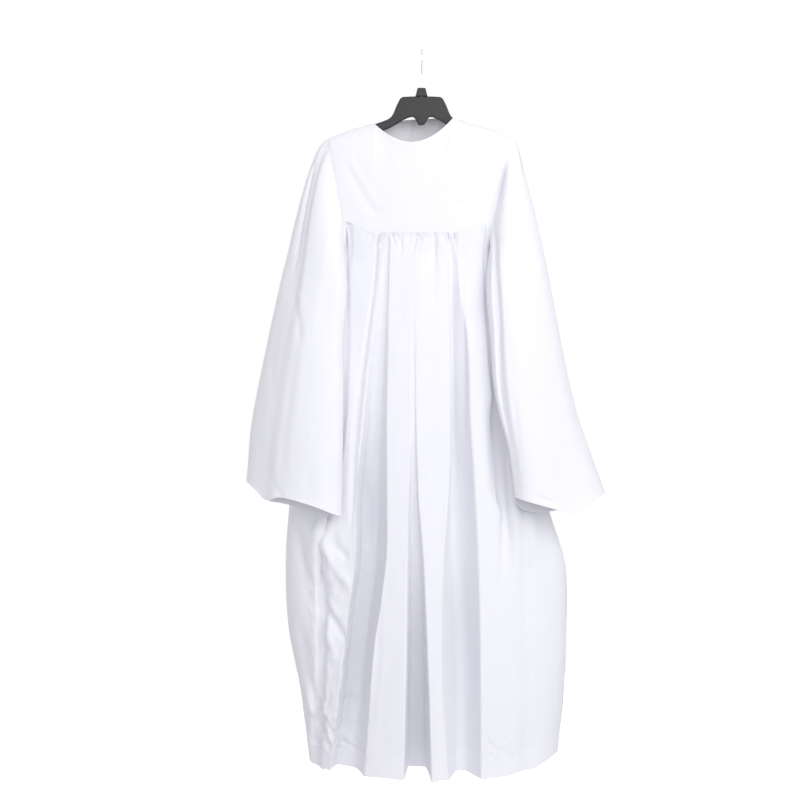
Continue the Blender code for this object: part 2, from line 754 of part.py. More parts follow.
def button(name, at, normal, parts, finish):
    """Flat button with a raised rim, turned about the way it faces."""
    radius, thick, rim = BUTTON_RADIUS, BUTTON_THICKNESS, 1.3
    profile = [
        (0.0, 0.0),
        (radius - 0.8, 0.0),
        (radius, 0.7),
        (radius, thick - 0.5),
        (radius - 0.5, thick),
        (radius - rim, thick),
        (radius - rim - 0.4, thick - 0.7),
        (0.0, thick - 0.7),
    ]
    bm = bmesh.new()
    verts = [bm.verts.new((r * MM, 0, z * MM)) for r, z in profile]
    edges = [bm.edges.new(pair) for pair in zip(verts, verts[1:])]
    bmesh.ops.spin(
        bm, geom=verts + edges, cent=(0, 0, 0), axis=(0, 0, 1), angle=2 * math.pi, steps=16, use_merge=True
    )
    bmesh.ops.remove_doubles(bm, verts=bm.verts, dist=1e-6)
    bmesh.ops.recalc_face_normals(bm, faces=bm.faces)
    mesh = bpy.data.meshes.new(name)
    bm.to_mesh(mesh)
    bm.free()
    obj = place(mesh, name, parts, finish)
    obj.location = Vector(at) * MM
    obj.rotation_euler = Vector(normal).to_track_quat("Z", "Y").to_euler()
    return obj


def yoke_columns(start, end):
    """Columns of a yoke from start to end, in millimetres at its top, closer together where it turns most."""
    left = NECK_CENTRE_X - NECK_HALF_WIDTH
    right = NECK_CENTRE_X + NECK_HALF_WIDTH
    marks = [-SHOULDER_X, -201, -197, -190, -180, -168, -156, -144, -134, -123, left - 5]
    for step in (0, 0.5, 1.6, 4, 9, 17, 28):
        marks += [left + step, right - step]
    marks += [-60, -38, GOWN_CENTRE_X, 2, 20]
    marks += [right + 5, 96, 120, 137, 152, 165, 177, 188, 196, 201, SHOULDER_X]
    marks.sort()
    inner = [x for x in marks if start + 1 < x < end - 1]
    return np.array([start, *inner, end]) / SHOULDER_X


def back_half(side):
    """One half of the back yoke. The right half lies over the left one at the centre back."""
    if side == "left":
        return yoke("back", yoke_columns(-SHOULDER_X, GOWN_CENTRE_X + BACK_LAP))
    u = yoke_columns(GOWN_CENTRE_X - BACK_LAP, SHOULDER_X)
    grid = yoke("back", u)
    past = u * SHOULDER_X - GOWN_CENTRE_X
    over = (CLOTH + SEAM) * (1 - ease((past - 1.5 * BACK_LAP) / (2.5 * BACK_LAP)))
    grid[:, :, 1] = grid[:, :, 1] + over
    return grid


def buttons(grid, parts, finish):
    """Buttons down the lap, set on the surface of the upper half."""
    for number, row_share in enumerate(BUTTON_PLACES, 1):
        heights = grid[:, 0, 2]
        z = mix(heights[0], heights[-1], row_share)
        row = int(np.argmin(np.abs(heights - z)))
        row = min(max(row, 1), len(heights) - 2)
        near = grid[row, 1]
        along_row = Vector(grid[row, 2] - grid[row, 0])
        down = Vector(grid[row + 1, 1] - grid[row - 1, 1])
        normal = along_row.cross(down).normalized()
        if normal.y < 0:
            normal = -normal
        at = Vector(near) + normal * (CLOTH / 2 + SEAM)
        button(f"back_button_{number}", at, normal, parts, finish)


def main():
    for old in list(bpy.data.objects):
        bpy.data.objects.remove(old)
    parts = collection_named("christening_gown")
    cutters = collection_named("cutters")
    cotton = {
        name: material(name, (0.9, 0.9, 0.93), 0.85)
        for name in ("yoke_cloth", "skirt_cloth", "sleeve_cloth")
    }
    black = material("hanger_plastic", (0.035, 0.035, 0.038), 0.42)
    clip = material("clip_plastic", (0.03, 0.03, 0.032), 0.38)
    steel = material("hook_wire", (0.75, 0.75, 0.77), 0.2, 1.0)
    pearl = material("button_plastic", (0.88, 0.88, 0.87), 0.3)

    cloth("yoke_front", yoke("front", yoke_columns(-SHOULDER_X, SHOULDER_X)), parts, cotton["yoke_cloth"])
    cloth("yoke_back_left", back_half("left"), parts, cotton["yoke_cloth"])
    upper = back_half("right")
    cloth("yoke_back_right", upper, parts, cotton["yoke_cloth"])

    for face, rows in SKIRT_ROWS.items():
        grid = skirt(face, skirt_columns(face), rows / rows[-1])
        cloth(f"skirt_{face}", grid, parts, cotton["skirt_cloth"])
    for side in ("left", "right"):
        grid = sleeve(side, sleeve_ring(), SLEEVE_ROWS)
        cloth(f"sleeve_{side}", grid, parts, cotton["sleeve_cloth"], tube=True)

    buttons(upper, parts, pearl)
    hanger(parts, cutters, black)
    size_clip(parts, cutters, clip)
    hook(parts, steel)


main()
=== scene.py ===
"""White christening gown on its hanger, with its cloth, stitching and finishes.

The tables are in millimetres and the meshes in metres. +X is the viewer's right, the front of the
gown faces -Y, and +Z is up. Each tool in the sidebar's Gown tab makes one piece or a group of like
pieces.
"""

import math

import bmesh
import bpy
import numpy as np
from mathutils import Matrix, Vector


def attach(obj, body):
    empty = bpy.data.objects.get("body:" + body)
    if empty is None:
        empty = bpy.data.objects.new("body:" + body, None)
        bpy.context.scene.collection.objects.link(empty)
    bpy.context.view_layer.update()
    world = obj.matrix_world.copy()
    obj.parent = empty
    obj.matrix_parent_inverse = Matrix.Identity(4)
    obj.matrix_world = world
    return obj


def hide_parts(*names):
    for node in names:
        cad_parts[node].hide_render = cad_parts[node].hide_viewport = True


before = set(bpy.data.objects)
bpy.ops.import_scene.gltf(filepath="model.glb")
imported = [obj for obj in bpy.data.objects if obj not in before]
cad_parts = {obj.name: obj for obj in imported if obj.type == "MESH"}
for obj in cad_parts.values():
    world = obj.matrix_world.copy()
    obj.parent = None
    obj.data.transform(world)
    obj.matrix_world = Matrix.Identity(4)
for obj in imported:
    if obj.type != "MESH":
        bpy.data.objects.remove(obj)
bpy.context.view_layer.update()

bl_info = {
    "name": "Christening gown",
    "version": (1, 0, 0),
    "blender": (4, 5, 0),
    "location": "3D View > Sidebar > Gown",
    "description": "Makes a white christening gown that hangs on a moulded hanger",
    "category": "Object",
}

MM = 0.001
FACES = ("front", "back")
SIDES = ("left", "right")
# Sign of the front, which stands toward -Y, and the back, and which side of a sleeve's grid shows
FACING = {"front": 1, "back": -1, "left": 1, "right": -1}

HEM_Z = -1603.0
YOKE_SEAM_Z = -400.0
YOKE_CORNER_RISE = 26.0
YOKE_SEAM_LEVEL = 92.0
YOKE_SEAM_CURVE = 66.0
GOWN_CENTRE_X = -14.0

SHOULDER_X = 203.0
SHOULDER_Z = -191.0
UNDERARM_Z = -438.0
ARMHOLE_DEPTH = {"front": 27.0, "back": 24.0}
ARMHOLE_ROUNDNESS = 2.6

NECK_CENTRE_X = -17.0
NECK_HALF_WIDTH = 88.0
NECK_CORNERS = (NECK_CENTRE_X - NECK_HALF_WIDTH, NECK_CENTRE_X + NECK_HALF_WIDTH)
NECK_DEPTH = {"front": 42.0, "back": 34.0}
NECK_DROP = {"front": 50.0, "back": -6.0}
YOKE_DEPTH = {"front": 44.0, "back": 36.0}
BACK_LAP = 12.0

# How far above and below a hem's stitches its rows lie closer together, a sleeve's usual length,
# and the rows of the yokes
HEM_BAND = 8
SLEEVE_LENGTH = 850.0
YOKE_ROWS = np.linspace(0, 1, 84) ** 1.5

# How high the weave and the pucker beside a hem stand and how deep its stitches lie, in metres
WEAVE_HEIGHT = 0.00003
PUCKER_HEIGHT = 0.0007
GROOVE_DEPTH = 0.0003

# Corners of the faces of a stitch, which has three rings of four points
STITCH_FACES = np.array([
    *((r + k, r + (k + 1) % 4, r + 4 + (k + 1) % 4, r + 4 + k) for r in (0, 4) for k in range(4)),
    (3, 2, 1, 0),
    (8, 9, 10, 11),
])

# A button's radius inside its rim, how far out its holes lie across and down, their radius, how
# thick its thread is, and the section of its rim as (radius, height)
BUTTON_RADIUS = 5.3
BUTTON_HOLE = 1.35
HOLE_RADIUS = 1.0
BUTTON_THREAD = 0.44
BUTTON_RIM = [
    (4.3, 0.5), (4.6, 1.15), (5.1, 1.3), (5.6, 1.0),
    (5.75, 0.2), (5.6, -0.7), (5.1, -0.9), (4.4, -0.6),
]


def table(names, rows):
    """Named columns of a short table."""
    names = names.split()
    return dict(zip(names, np.array(rows.split(), float).reshape(-1, len(names)).T))


def folds(rows, blocks):
    """One fold from each block of lines, given at these rows. A lone number holds at every row."""
    names = ("x", "depth", "left", "right", "wall", "crisp")
    rows = np.array(rows, float)
    blocks = [block.splitlines() for block in blocks.strip().split("\n\n")]
    read = [[np.array(line.split(), float) for line in block] for block in blocks]
    return [{"row": rows, **dict(zip(names, lines))} for lines in read]


def smooth(rows, name, x):
    """Cubic curve through one column of a table, read at x in its first column, which may run
    either way."""
    xs = next(iter(rows.values()))
    ys = np.broadcast_to(rows[name], xs.shape)
    if xs[0] > xs[-1]:
        xs, ys = xs[::-1], ys[::-1]
    slopes = np.gradient(ys, xs)
    x = np.clip(x, xs[0], xs[-1])
    i = np.clip(np.searchsorted(xs, x) - 1, 0, len(xs) - 2)
    step = xs[i + 1] - xs[i]
    t = (x - xs[i]) / step
    return (
        ys[i] * (1 + 2 * t) * (1 - t) ** 2
        + step * slopes[i] * t * (1 - t) ** 2
        + ys[i + 1] * t * t * (3 - 2 * t)
        - step * slopes[i + 1] * t * t * (1 - t)
    )


def ease(t):
    """0 to 1 with flat ends."""
    t = np.clip(t, 0, 1)
    return t * t * (3 - 2 * t)


def mix(a, b, t):
    return a + (b - a) * t


# Upper edge of the hanger, on which the shoulders lie
HANGER_TOP = table("x z", """
47.5 -103
53 -113
58 -125
63 -137
67 -142.5
72 -146.5
84 -152
103 -158.5
150 -171
203 -191
""")

# Armhole seams: where each one lies across the gown. fall runs from 0 at the shoulder to 1 at the
# underarm.
ARMHOLES = {
    "left": table("fall front back", """
0 -203 -203
0.19 -197 -197
0.35 -191 -191
0.52 -183 -184
0.72 -173 -176
0.85 -171 -174
1 -173 -173
    """),
    "right": table("fall front back", """
0 203 203
0.19 185 190
0.35 173 180
0.52 161 168
0.72 149 157
0.85 148 154
1 153 153
    """),
}

# Skirt outline: its two side seams, and how far front and back stand out from their plane
SKIRT = table("z left right front back", """
-440 -173 153 46 38
-520 -184 164 54 44
-575 -198 180 60 48
-640 -224 204 66 52
-773 -266 242 78 60
-1002 -297 284 98 76
-1152 -307 327 114 86
-1280 -302 331 126 94
-1452 -273 326 139 102
-1603 -255 312 148 108
""")

# Deep folds of the skirt. Each is a valley, given at the face's heights in lines of numbers: its
# place, its depth, and how far its left and right rims lie from its deepest line. Then come the
# share of its left and right side over which it drops, and how sharp its left and right rims are,
# from 0 to 1.
FOLDS = {
    "front": folds((-400, -520, -650, -800, -1000, -1100, -1300, -1603), """
-167 -165 -165 -172 -200 -220 -217 -238
3 2 2 3 8 14 16 12
5 7 9 12 14 14 18 20
6 7 9 10 10 8 10 14
0.9 0.9
0 0.3

-96 -104 -122 -140 -152 -156 -176 -212
4 6 6 5 2 0 0 0
4 6 9 14 10 7 6 5
3 4 5 8 4 4 4 4
0.9 0.9
0 0.5

-72 -77 -88 -100 -119 -123 -142 -176
5 9 18 34 74 80 92 54
8 14 22 27 26 22 28 30
3 5 14 23 43 46 39 48
0.6 0.55
0.4 0.9

-18 -18 -18 -18 -17 -14 -11 -9
0 0 1 4 20 32 66 104
3 4 5 6 12 17 23 31
3 4 5 6 12 17 23 31
0.42 0.42
0.3 0.9

60 63 66 68 66 69 82 84
4 13 27 41 58 64 86 64
4 4 3 4 8 20 40 28
14 21 38 40 54 56 48 48
0.95 0.85
0.2 0.6

141 142 150 165 182 185 182 178
4 3 3 10 26 8 1 1
4 5 5 6 8 14 20 20
3 4 6 12 26 26 24 24
0.8 0.8
0.8 0

146 152 172 198 226 230 236 236
0 0 0 2 6 8 5 6
2 3 5 10 16 18 24 26
3 4 8 14 24 26 30 30
1 1
0 0
    """),
    "back": folds((-400, -600, -800, -1000, -1300, -1603), """
-126 -142 -166 -184 -198 -190
4 6 8 14 40 52
6 9 14 18 26 30
6 9 14 20 32 30
0.95 0.6
0 0.6

-84 -90 -98 -104 -122 -132
8 22 38 54 60 46
6 10 14 18 18 22
7 14 24 32 34 36
0.95 0.6
0.2 0.8

-40 -40 -38 -36 -40 -44
3 5 6 8 18 40
4 5 7 9 16 24
4 5 7 9 16 22
0.5 0.5
0.4 0.6

12 18 24 26 24 22
7 20 34 44 62 76
6 10 16 20 20 24
6 9 12 16 22 28
0.6 0.9
0.8 0

62 70 80 92 112 124
5 8 10 12 20 30
6 8 12 16 26 32
6 9 14 18 24 28
0.8 0.5
0 0.7

104 124 148 172 196 204
8 14 26 36 44 30
7 12 18 24 30 32
7 12 18 24 32 34
0.5 0.95
0.7 0
    """),
}

# Gathers just under the yoke: place at the seam, depth, half width there, how far down each one
# runs, and how far it slants to the right for each step down
GATHERS = {
    "front": table("x depth half length slant", """
-163 6.1 2.2 48 0.05
-157 7.3 1.8 74 -0.03
-150 4.1 2.4 36 0.08
-139 2 3 41 -0.1
-126 2.4 3.4 53 0.05
-112 3.2 2.6 62 -0.12
-105 5.3 2.2 31 -0.3
-91 8.9 1.7 41 -0.22
-84 5.7 2 53 -0.1
-79 3.6 1.4 24 -0.34
-65 7.7 1.8 43 0.24
-58 6.1 1.6 26 0.4
-52 3.2 2 55 0.16
-43 4.5 1.8 72 -0.08
-35 2.4 1.8 34 0.2
-24 2.8 2.2 43 -0.12
-10 6.9 1.7 65 -0.2
-5 4.9 1.4 43 -0.34
1 8.1 1.7 60 -0.24
8 4.5 1.5 34 -0.16
15 2.4 2.2 53 0.1
30 7.5 2.4 170 -0.04
37 4.1 1.7 41 -0.2
44 3.2 1.6 29 0.26
50 4.9 1.6 46 0.12
57 6.1 1.4 31 0.2
72 6.9 1.5 58 0.1
79 4.5 1.5 31 0.28
93 3.2 2.2 72 -0.06
104 2.4 2.4 43 0.1
117 3 2.4 90 0.1
128 6.1 2 65 0.16
    """),
    "back": table("x depth half length slant", """
-158 4 3.6 60 0.06
-150 2.2 2.6 38 -0.12
-143 4.5 3.4 85 0.05
-134 2.4 3 44 0.2
-127 2.6 2.6 52 -0.1
-110 2.2 2.8 34 0.14
-104 3 2.6 48 -0.2
-97 4.5 3.2 66 0.04
-88 2.4 2.8 42 -0.16
-58 2.2 2.6 38 0.22
-47 4.5 3.6 78 -0.05
-39 2.8 2.6 46 0.12
-31 2.2 2.4 30 -0.24
-11 2.6 2.8 50 0.1
-2 4.5 3.2 64 -0.04
8 2.4 2.8 40 0.18
31 2.6 2.6 36 -0.14
38 4.5 3 80 0.05
47 3.6 2.8 55 0.2
56 2.4 2.6 42 -0.2
77 2.2 2.6 34 0.12
84 4.5 3.2 75 -0.06
94 2.4 2.8 46 0.16
115 2.6 2.8 40 -0.18
122 4.5 3.2 62 0.04
131 2.2 2.8 38 0.14
138 5 3.4 95 -0.05
    """),
}

# Crushed cloth: the corners of its box seen from the front, as x and z, the depth and the width of
# its small folds, and what their unevenness starts from
CRUMPLES = {
    "front": [
        (-268, -1585, -130, -1400, 5.0, 18, 21),
        (-262, -1440, -150, -1010, 3.5, 30, 22),
        (120, -1585, 220, -1480, 2.5, 16, 23),
    ],
    "back": [
        (-230, -1560, -120, -1400, 3.0, 20, 24),
        (180, -1540, 280, -1380, 3.0, 20, 25),
    ],
}

# Least space between a skirt panel's lines, how much of its depth a fold may take up, and how far
# its side edges reach past the other panel's
LEAST_COLUMN = 1.2
DEEPEST_SHARE = 0.82
SIDE_LAP = 2.0

# Sleeves, row by row from armhole to hem: the outer edge, the inner edge, and how far the cloth
# stands in front of and behind the line between them. tail lowers the back hem.
SLEEVES = {
    "left": table("share ox oy oz ix iy iz front back tail", """
0 -203 0 -191 -175 0 -440 27 24 0
0.05 -221 2 -200 -170 -14 -458 30 22 0
0.14 -243 4 -245 -166 -38 -512 36 18 0
0.38 -300 6 -447 -173 -54 -640 48 10 0
0.6 -345 5 -640 -172 -70 -765 56 7 0
0.81 -379 0 -810 -174 -84 -893 60 6 0
1 -393 -8 -954 -176 -94 -1021 60 6 3
    """),
    "right": table("share ox oy oz ix iy iz front back tail", """
0 203 0 -191 155 0 -440 27 24 0
0.05 214 0 -202 148 -16 -460 30 22 0
0.14 226 0 -252 144 -40 -512 38 18 0
0.38 270 -2 -430 152 -56 -630 46 10 0
0.6 309 -4 -625 162 -70 -755 54 7 0
0.81 354 -6 -815 192 -84 -880 60 7 6
1 414 -10 -980 206 -88 -980 60 14 56
    """),
}

# How far the hem of each sleeve hangs below the straight line from its outer to its inner corner
SLEEVE_HEMS = {
    "left": table("across front back", """
0 0 0
0.1 9 14
0.21 21 27
0.36 2 22
0.5 -4 17
0.67 -6 13
0.85 -4 8
1 0 0
    """),
    "right": table("across front back", """
0 0 0
0.12 10 0
0.27 27 0
0.38 35 0
0.6 23 0
0.85 8 0
1 0 0
    """),
}

# Folds along the sleeves, at their seven rows: how far round each one lies, its depth, and how far
# its rims lie before and after it. 0 is the outer edge, 0.5 the inner edge over the front, and 1 is
# reached over the back. A fold has three of the sleeve's numbered lines: these are the middle ones.
SLEEVE_FOLD_LINES = (2, 5, 9)
INNER_LINE = 7
LAST_LINE = 11
SLEEVE_FOLDS = {
    "left": folds(SLEEVES["left"]["share"], """
0.07 0.09 0.11 0.15 0.15 0.15 0.14
0 4 6 8 6 6 6
0.05 0.05 0.06 0.1 0.11 0.12 0.11
0.03 0.03 0.03 0.04 0.05 0.05 0.05

0.3 0.3 0.3 0.31 0.33 0.34 0.34
0 1 1 1 1 2 2
0.05 0.05 0.05 0.05 0.06 0.07 0.07
0.05 0.05 0.05 0.05 0.06 0.07 0.07

0.74 0.74 0.74 0.76 0.78 0.78 0.78
0 4 6 5 3 3 3
0.06
0.06
    """),
    "right": folds(SLEEVES["right"]["share"], """
0.13 0.13 0.14 0.16 0.17 0.18 0.2
0 2 2 2 2 3 4
0.06 0.06 0.06 0.06 0.07 0.07 0.07
0.06 0.06 0.06 0.06 0.07 0.07 0.07

0.31 0.32 0.335 0.37 0.4 0.43 0.44
0 8 13 13 9 4 1
0.03 0.03 0.03 0.03 0.04 0.04 0.04
0.05 0.05 0.05 0.05 0.045 0.04 0.03

0.74 0.74 0.74 0.76 0.78 0.78 0.78
0 4 6 5 3 3 3
0.06
0.06
    """),
}

# Creases pressed into the cloth, listed one by one. Each is a curve through three points, seen from
# the front, with its depth, half its width, and how much it leans: 0 is a plain valley, 1 or -1 a
# step to one side. A crease with a negative depth is a ridge.
CREASE = "x1 z1 x2 z2 x3 z3 depth half lean"
CREASES = {
    "yoke_front": table(CREASE, """
-166 -240 -134 -300 -82 -384 3 13 0.5
-150 -214 -128 -262 -104 -300 1.4 10 0.4
160 -244 138 -296 104 -366 2 13 -0.5
-62 -262 -20 -258 30 -268 -0.8 16 0
-120 -330 -96 -352 -60 -362 1 9 0.3
60 -320 88 -344 124 -352 0.8 9 -0.3
    """),
    "yoke_back": table(CREASE, """
-168 -236 -134 -300 -90 -372 2.4 13 0.5
164 -236 136 -300 92 -372 2.2 13 -0.5
-110 -300 -60 -318 -20 -316 0.9 12 0.2
10 -330 60 -322 110 -300 0.9 12 -0.2
    """),
    "skirt_front": table(CREASE, """
-204 -1056 -184 -1088 -158 -1118 11 10 0.5
-212 -1060 -202 -1110 -178 -1150 -8 9 0.3
-186 -1142 -168 -1166 -152 -1176 -8 9 0.2
-220 -1072 -212 -1170 -216 -1310 9 8 0.2
-210 -1222 -186 -1262 -156 -1310 9 10 0.5
-226 -1240 -204 -1290 -190 -1350 -6 10 0.2
-118 -960 -115 -1025 -120 -1110 16 9 0.1
-222 -900 -216 -1000 -214 -1120 -7 22 0
196 -880 202 -970 206 -1080 -6 22 0
161 -770 168 -900 175 -1015 18 16 0
-228 -1040 -222 -1090 -222 -1180 -14 30 0
234 -1020 238 -1060 242 -1140 -10 22 0
-100 -1180 -98 -1330 -118 -1500 3 8 -0.3
-142 -1180 -152 -1330 -176 -1500 3 8 0.2
-166 -378 -168 -430 -166 -510 5 4 0
-157 -380 -158 -430 -161 -480 4 4 0
92 -480 95 -620 98 -860 5 5 0.3
66 -520 71 -680 75 -960 10 5 -0.1
96 -1180 104 -1320 106 -1500 2.4 7 0.2
-246 -1390 -230 -1450 -212 -1510 9 9 0.5
-262 -1400 -250 -1450 -236 -1500 -6 9 0.2
-246 -1478 -228 -1496 -204 -1546 7 7 0.5
-228 -1452 -208 -1474 -186 -1476 -6 7 0.2
-222 -1500 -206 -1512 -196 -1560 -5 6 0.3
-184 -1542 -156 -1554 -112 -1566 5 5 0.5
-176 -1530 -150 -1536 -120 -1550 -3 6 0
-262 -1120 -250 -1180 -252 -1250 5 14 0.3
-284 -1040 -266 -1090 -258 -1150 5 13 0.5
-276 -1280 -266 -1340 -262 -1400 5 13 -0.3
-128 -640 -138 -740 -150 -860 2.4 14 0.4
-140 -900 -146 -970 -150 -1040 3 10 0.4
-58 -1000 -66 -1120 -74 -1240 1.2 14 0.3
-66 -1300 -78 -1420 -88 -1540 1.6 12 0.4
20 -420 16 -560 12 -760 0.8 12 0.2
42 -900 44 -1050 40 -1200 0.9 12 0.3
38 -1300 44 -1420 42 -1560 1.6 10 -0.3
116 -470 122 -600 128 -760 1.8 12 0.4
216 -1020 230 -1080 236 -1180 2.4 20 -0.3
262 -1110 256 -1200 262 -1310 1.2 20 0.3
142 -1500 158 -1530 182 -1542 4 8 0.5
252 -1440 262 -1500 258 -1570 1.6 14 0.3
192 -1380 190 -1450 196 -1530 1.2 14 0.3
290 -1180 298 -1260 292 -1360 1.6 14 0.3
    """),
    "skirt_back": table(CREASE, """
-240 -1060 -226 -1130 -232 -1220 5 12 0.3
-262 -1260 -244 -1330 -236 -1420 4 11 0.4
-212 -1440 -198 -1490 -206 -1560 3.5 9 -0.3
-60 -520 -62 -640 -66 -780 2.4 10 0.2
52 -560 56 -680 62 -820 2.2 10 -0.2
-140 -1240 -146 -1340 -140 -1440 2.6 11 0.3
4 -1100 6 -1220 0 -1340 2 10 0.2
76 -1260 74 -1360 80 -1470 2.2 11 -0.2
162 -1200 156 -1300 160 -1400 3 12 0.3
250 -1120 262 -1210 256 -1320 4 13 -0.4
276 -1360 266 -1430 272 -1520 3.4 10 0.3
130 -1500 148 -1526 176 -1536 2.6 8 0.5
    """),
    "sleeve_left": table(CREASE, """
-231 -232 -254 -340 -280 -500 5 5 0.5
-280 -520 -268 -590 -262 -640 3 9 0.5
-262 -600 -286 -760 -306 -950 3.6 16 0.6
-186 -300 -172 -370 -165 -430 3.2 6 -0.4
-176 -500 -180 -600 -178 -720 2.4 7 -0.5
-214 -330 -222 -430 -226 -560 0.9 14 0.3
-346 -640 -360 -760 -372 -900 1.4 14 -0.3
-190 -860 -200 -930 -196 -1000 1.6 9 0.3
-300 -560 -322 -640 -330 -740 1.6 9 0.4
-330 -930 -318 -960 -296 -985 2.2 7 0.3
-252 -900 -246 -950 -250 -1000 1.2 12 0.3
    """),
    "sleeve_right": table(CREASE, """
188 -232 168 -310 150 -410 7 7 -0.2
203 -222 188 -310 172 -410 -3.4 8 0
205 -208 213 -250 214 -306 3.4 4 -0.2
212 -206 224 -246 228 -300 2.4 4 0.2
196 -216 200 -252 196 -292 3 4 0.3
219 -214 236 -262 244 -330 1.6 6 0.3
196 -760 204 -820 206 -900 3 8 -0.4
240 -400 258 -500 280 -620 0.9 18 0.3
262 -640 284 -740 318 -850 0.9 18 0.3
232 -780 250 -860 262 -950 1.2 14 -0.3
316 -840 346 -900 382 -950 2.4 12 0.5
292 -900 318 -950 338 -1002 2.2 9 0.4
236 -960 262 -976 300 -990 1.8 6 0.4
    """),
}


def hanger_top(x):
    """Height of the hanger's upper edge."""
    return smooth(HANGER_TOP, "z", np.abs(x))


def fall_at(z):
    """How far down the armhole the height z is, from 0 to 1."""
    return (SHOULDER_Z - z) / (SHOULDER_Z - UNDERARM_Z)


CORNER_FALL = fall_at(YOKE_SEAM_Z + YOKE_CORNER_RISE)
CORNER_TURN = math.acos(1 - 2 * CORNER_FALL)


def standing(fall):
    """How far the armhole stands open in front and behind: 0 at both its ends, and 1 halfway."""
    power = ARMHOLE_ROUNDNESS
    return np.clip(1 - np.abs(1 - 2 * fall) ** power, 0, 1) ** (1 / power)


def armhole(side, face, turn):
    """Points on one half of an armhole seam. turn is 0 at the shoulder and pi at the underarm."""
    fall = (1 - np.cos(turn)) / 2
    x = smooth(ARMHOLES[side], face, fall)
    y = -FACING[face] * ARMHOLE_DEPTH[face] * standing(fall)
    return np.stack([x, y, mix(SHOULDER_Z, UNDERARM_Z, fall)], -1)


def yoke_seam_z(x):
    """The seam under the yoke is level, and rises in a curve to each armhole."""
    out = np.abs(x - GOWN_CENTRE_X) - YOKE_SEAM_LEVEL
    return YOKE_SEAM_Z + YOKE_CORNER_RISE * ease(out / YOKE_SEAM_CURVE)


def neck(x):
    """How far into the neck x is: 0 outside it, and 1 at its middle."""
    return np.clip(1 - ((x - NECK_CENTRE_X) / NECK_HALF_WIDTH) ** 2, 0, 1)


def shoulder_line(x):
    """Height of the shoulder seams, carried straight across the neck."""
    left, right = NECK_CORNERS
    across = mix(hanger_top(left), hanger_top(right), (x - left) / (right - left))
    return np.where((x > left) & (x < right), across, hanger_top(x))


def chest(face, u, fall):
    """How far the gown stands out over the chest or the back, and how much of that it does at this
    fall. u runs from -1 to 1 across, and fall from 0 to 1 down the armhole."""
    full = mix(ARMHOLE_DEPTH[face], YOKE_DEPTH[face], np.clip(1 - u**2, 0, 1) ** 0.8)
    inside = np.where(fall < 0.5, standing(fall), 1.0)
    return full, mix(inside, standing(fall), u**8)


def yoke(face, u, share):
    """Grid of a yoke. u runs from -1 at the left armhole to 1 at the right one, and share from 0 at
    the top to 1 at the seam."""
    share = share[:, None]
    left, right = (smooth(ARMHOLES[side], face, share * CORNER_FALL) for side in SIDES)
    x = mix(left, right, (u + 1) / 2)
    across = neck(x[0])
    neck_depth = NECK_DEPTH[face] * across ** (0.5 + 6 * share)
    top_z = shoulder_line(x[0]) - NECK_DROP[face] * across
    z = mix(top_z, yoke_seam_z(x[-1]), share)
    full, roundness = chest(face, u, fall_at(SHOULDER_Z - top_z + z))
    y = neck_depth + (full - neck_depth) * roundness
    return np.stack([x, -FACING[face] * y, z], -1)


def spaced(x):
    """Lines pushed apart, so that each one lies far enough to the right of the last."""
    for k in range(1, x.shape[-1] - 1):
        x[..., k] = np.maximum(x[..., k], x[..., k - 1] + LEAST_COLUMN)
    for k in range(x.shape[-1] - 2, 0, -1):
        x[..., k] = np.minimum(x[..., k], x[..., k + 1] - LEAST_COLUMN)
    return x


def fold_lines(fold, row):
    """The three lines of a fold: its left rim, its deepest line and its right rim."""
    x, left, right = (smooth(fold, name, row) for name in ("x", *SIDES))
    return [x - left, x, x + right]


def skirt_lines(face, z, left, right):
    """Where a skirt panel's lines lie at the heights z: side seam, three to a fold, side seam."""
    lines = [line for fold in FOLDS[face] for line in fold_lines(fold, z)]
    return spaced(np.stack(np.broadcast_arrays(left, *lines, right), -1))


def last_line(face):
    """Number of a skirt panel's last line, which is its right side seam."""
    return 3 * len(FOLDS[face]) + 1


def along(lines, c):
    """Place at c between numbered lines: 0 is the first line, and 1.5 is halfway from the second to
    the third."""
    i = np.clip(np.floor(c).astype(int), 0, lines.shape[-1] - 2)
    i = np.broadcast_to(i, lines.shape[:-1])[..., None]
    before, after = (np.take_along_axis(lines, i + step, -1)[..., 0] for step in (0, 1))
    return mix(before, after, c - i[..., 0])


def skirt_top(face, c):
    """Top edge of a skirt panel: up the left armhole, along the yoke seam, down the right one."""
    left, right = (armhole(side, face, np.array(CORNER_TURN))[0] for side in SIDES)
    lines = skirt_lines(face, np.array(YOKE_SEAM_Z), left, right)
    last = last_line(face)
    on_seam = np.where(c < 1, 2 * c - 1, np.where(c > last - 1, 2 * c - last + 1, c))
    x = along(np.broadcast_to(lines, (len(c), last + 1)), np.clip(on_seam, 0, last))
    u = 2 * (x - lines[0]) / (lines[-1] - lines[0]) - 1
    z = yoke_seam_z(x)
    full, roundness = chest(face, u, fall_at(z))
    points = np.stack([x, -FACING[face] * full * roundness, z], -1)
    for side, past in (("left", 0.5 - c), ("right", c - last + 0.5)):
        turn = mix(CORNER_TURN, math.pi, np.clip(past / 0.5, 0, 1))
        points = np.where((past > 0)[:, None], armhole(side, face, turn), points)
    return points


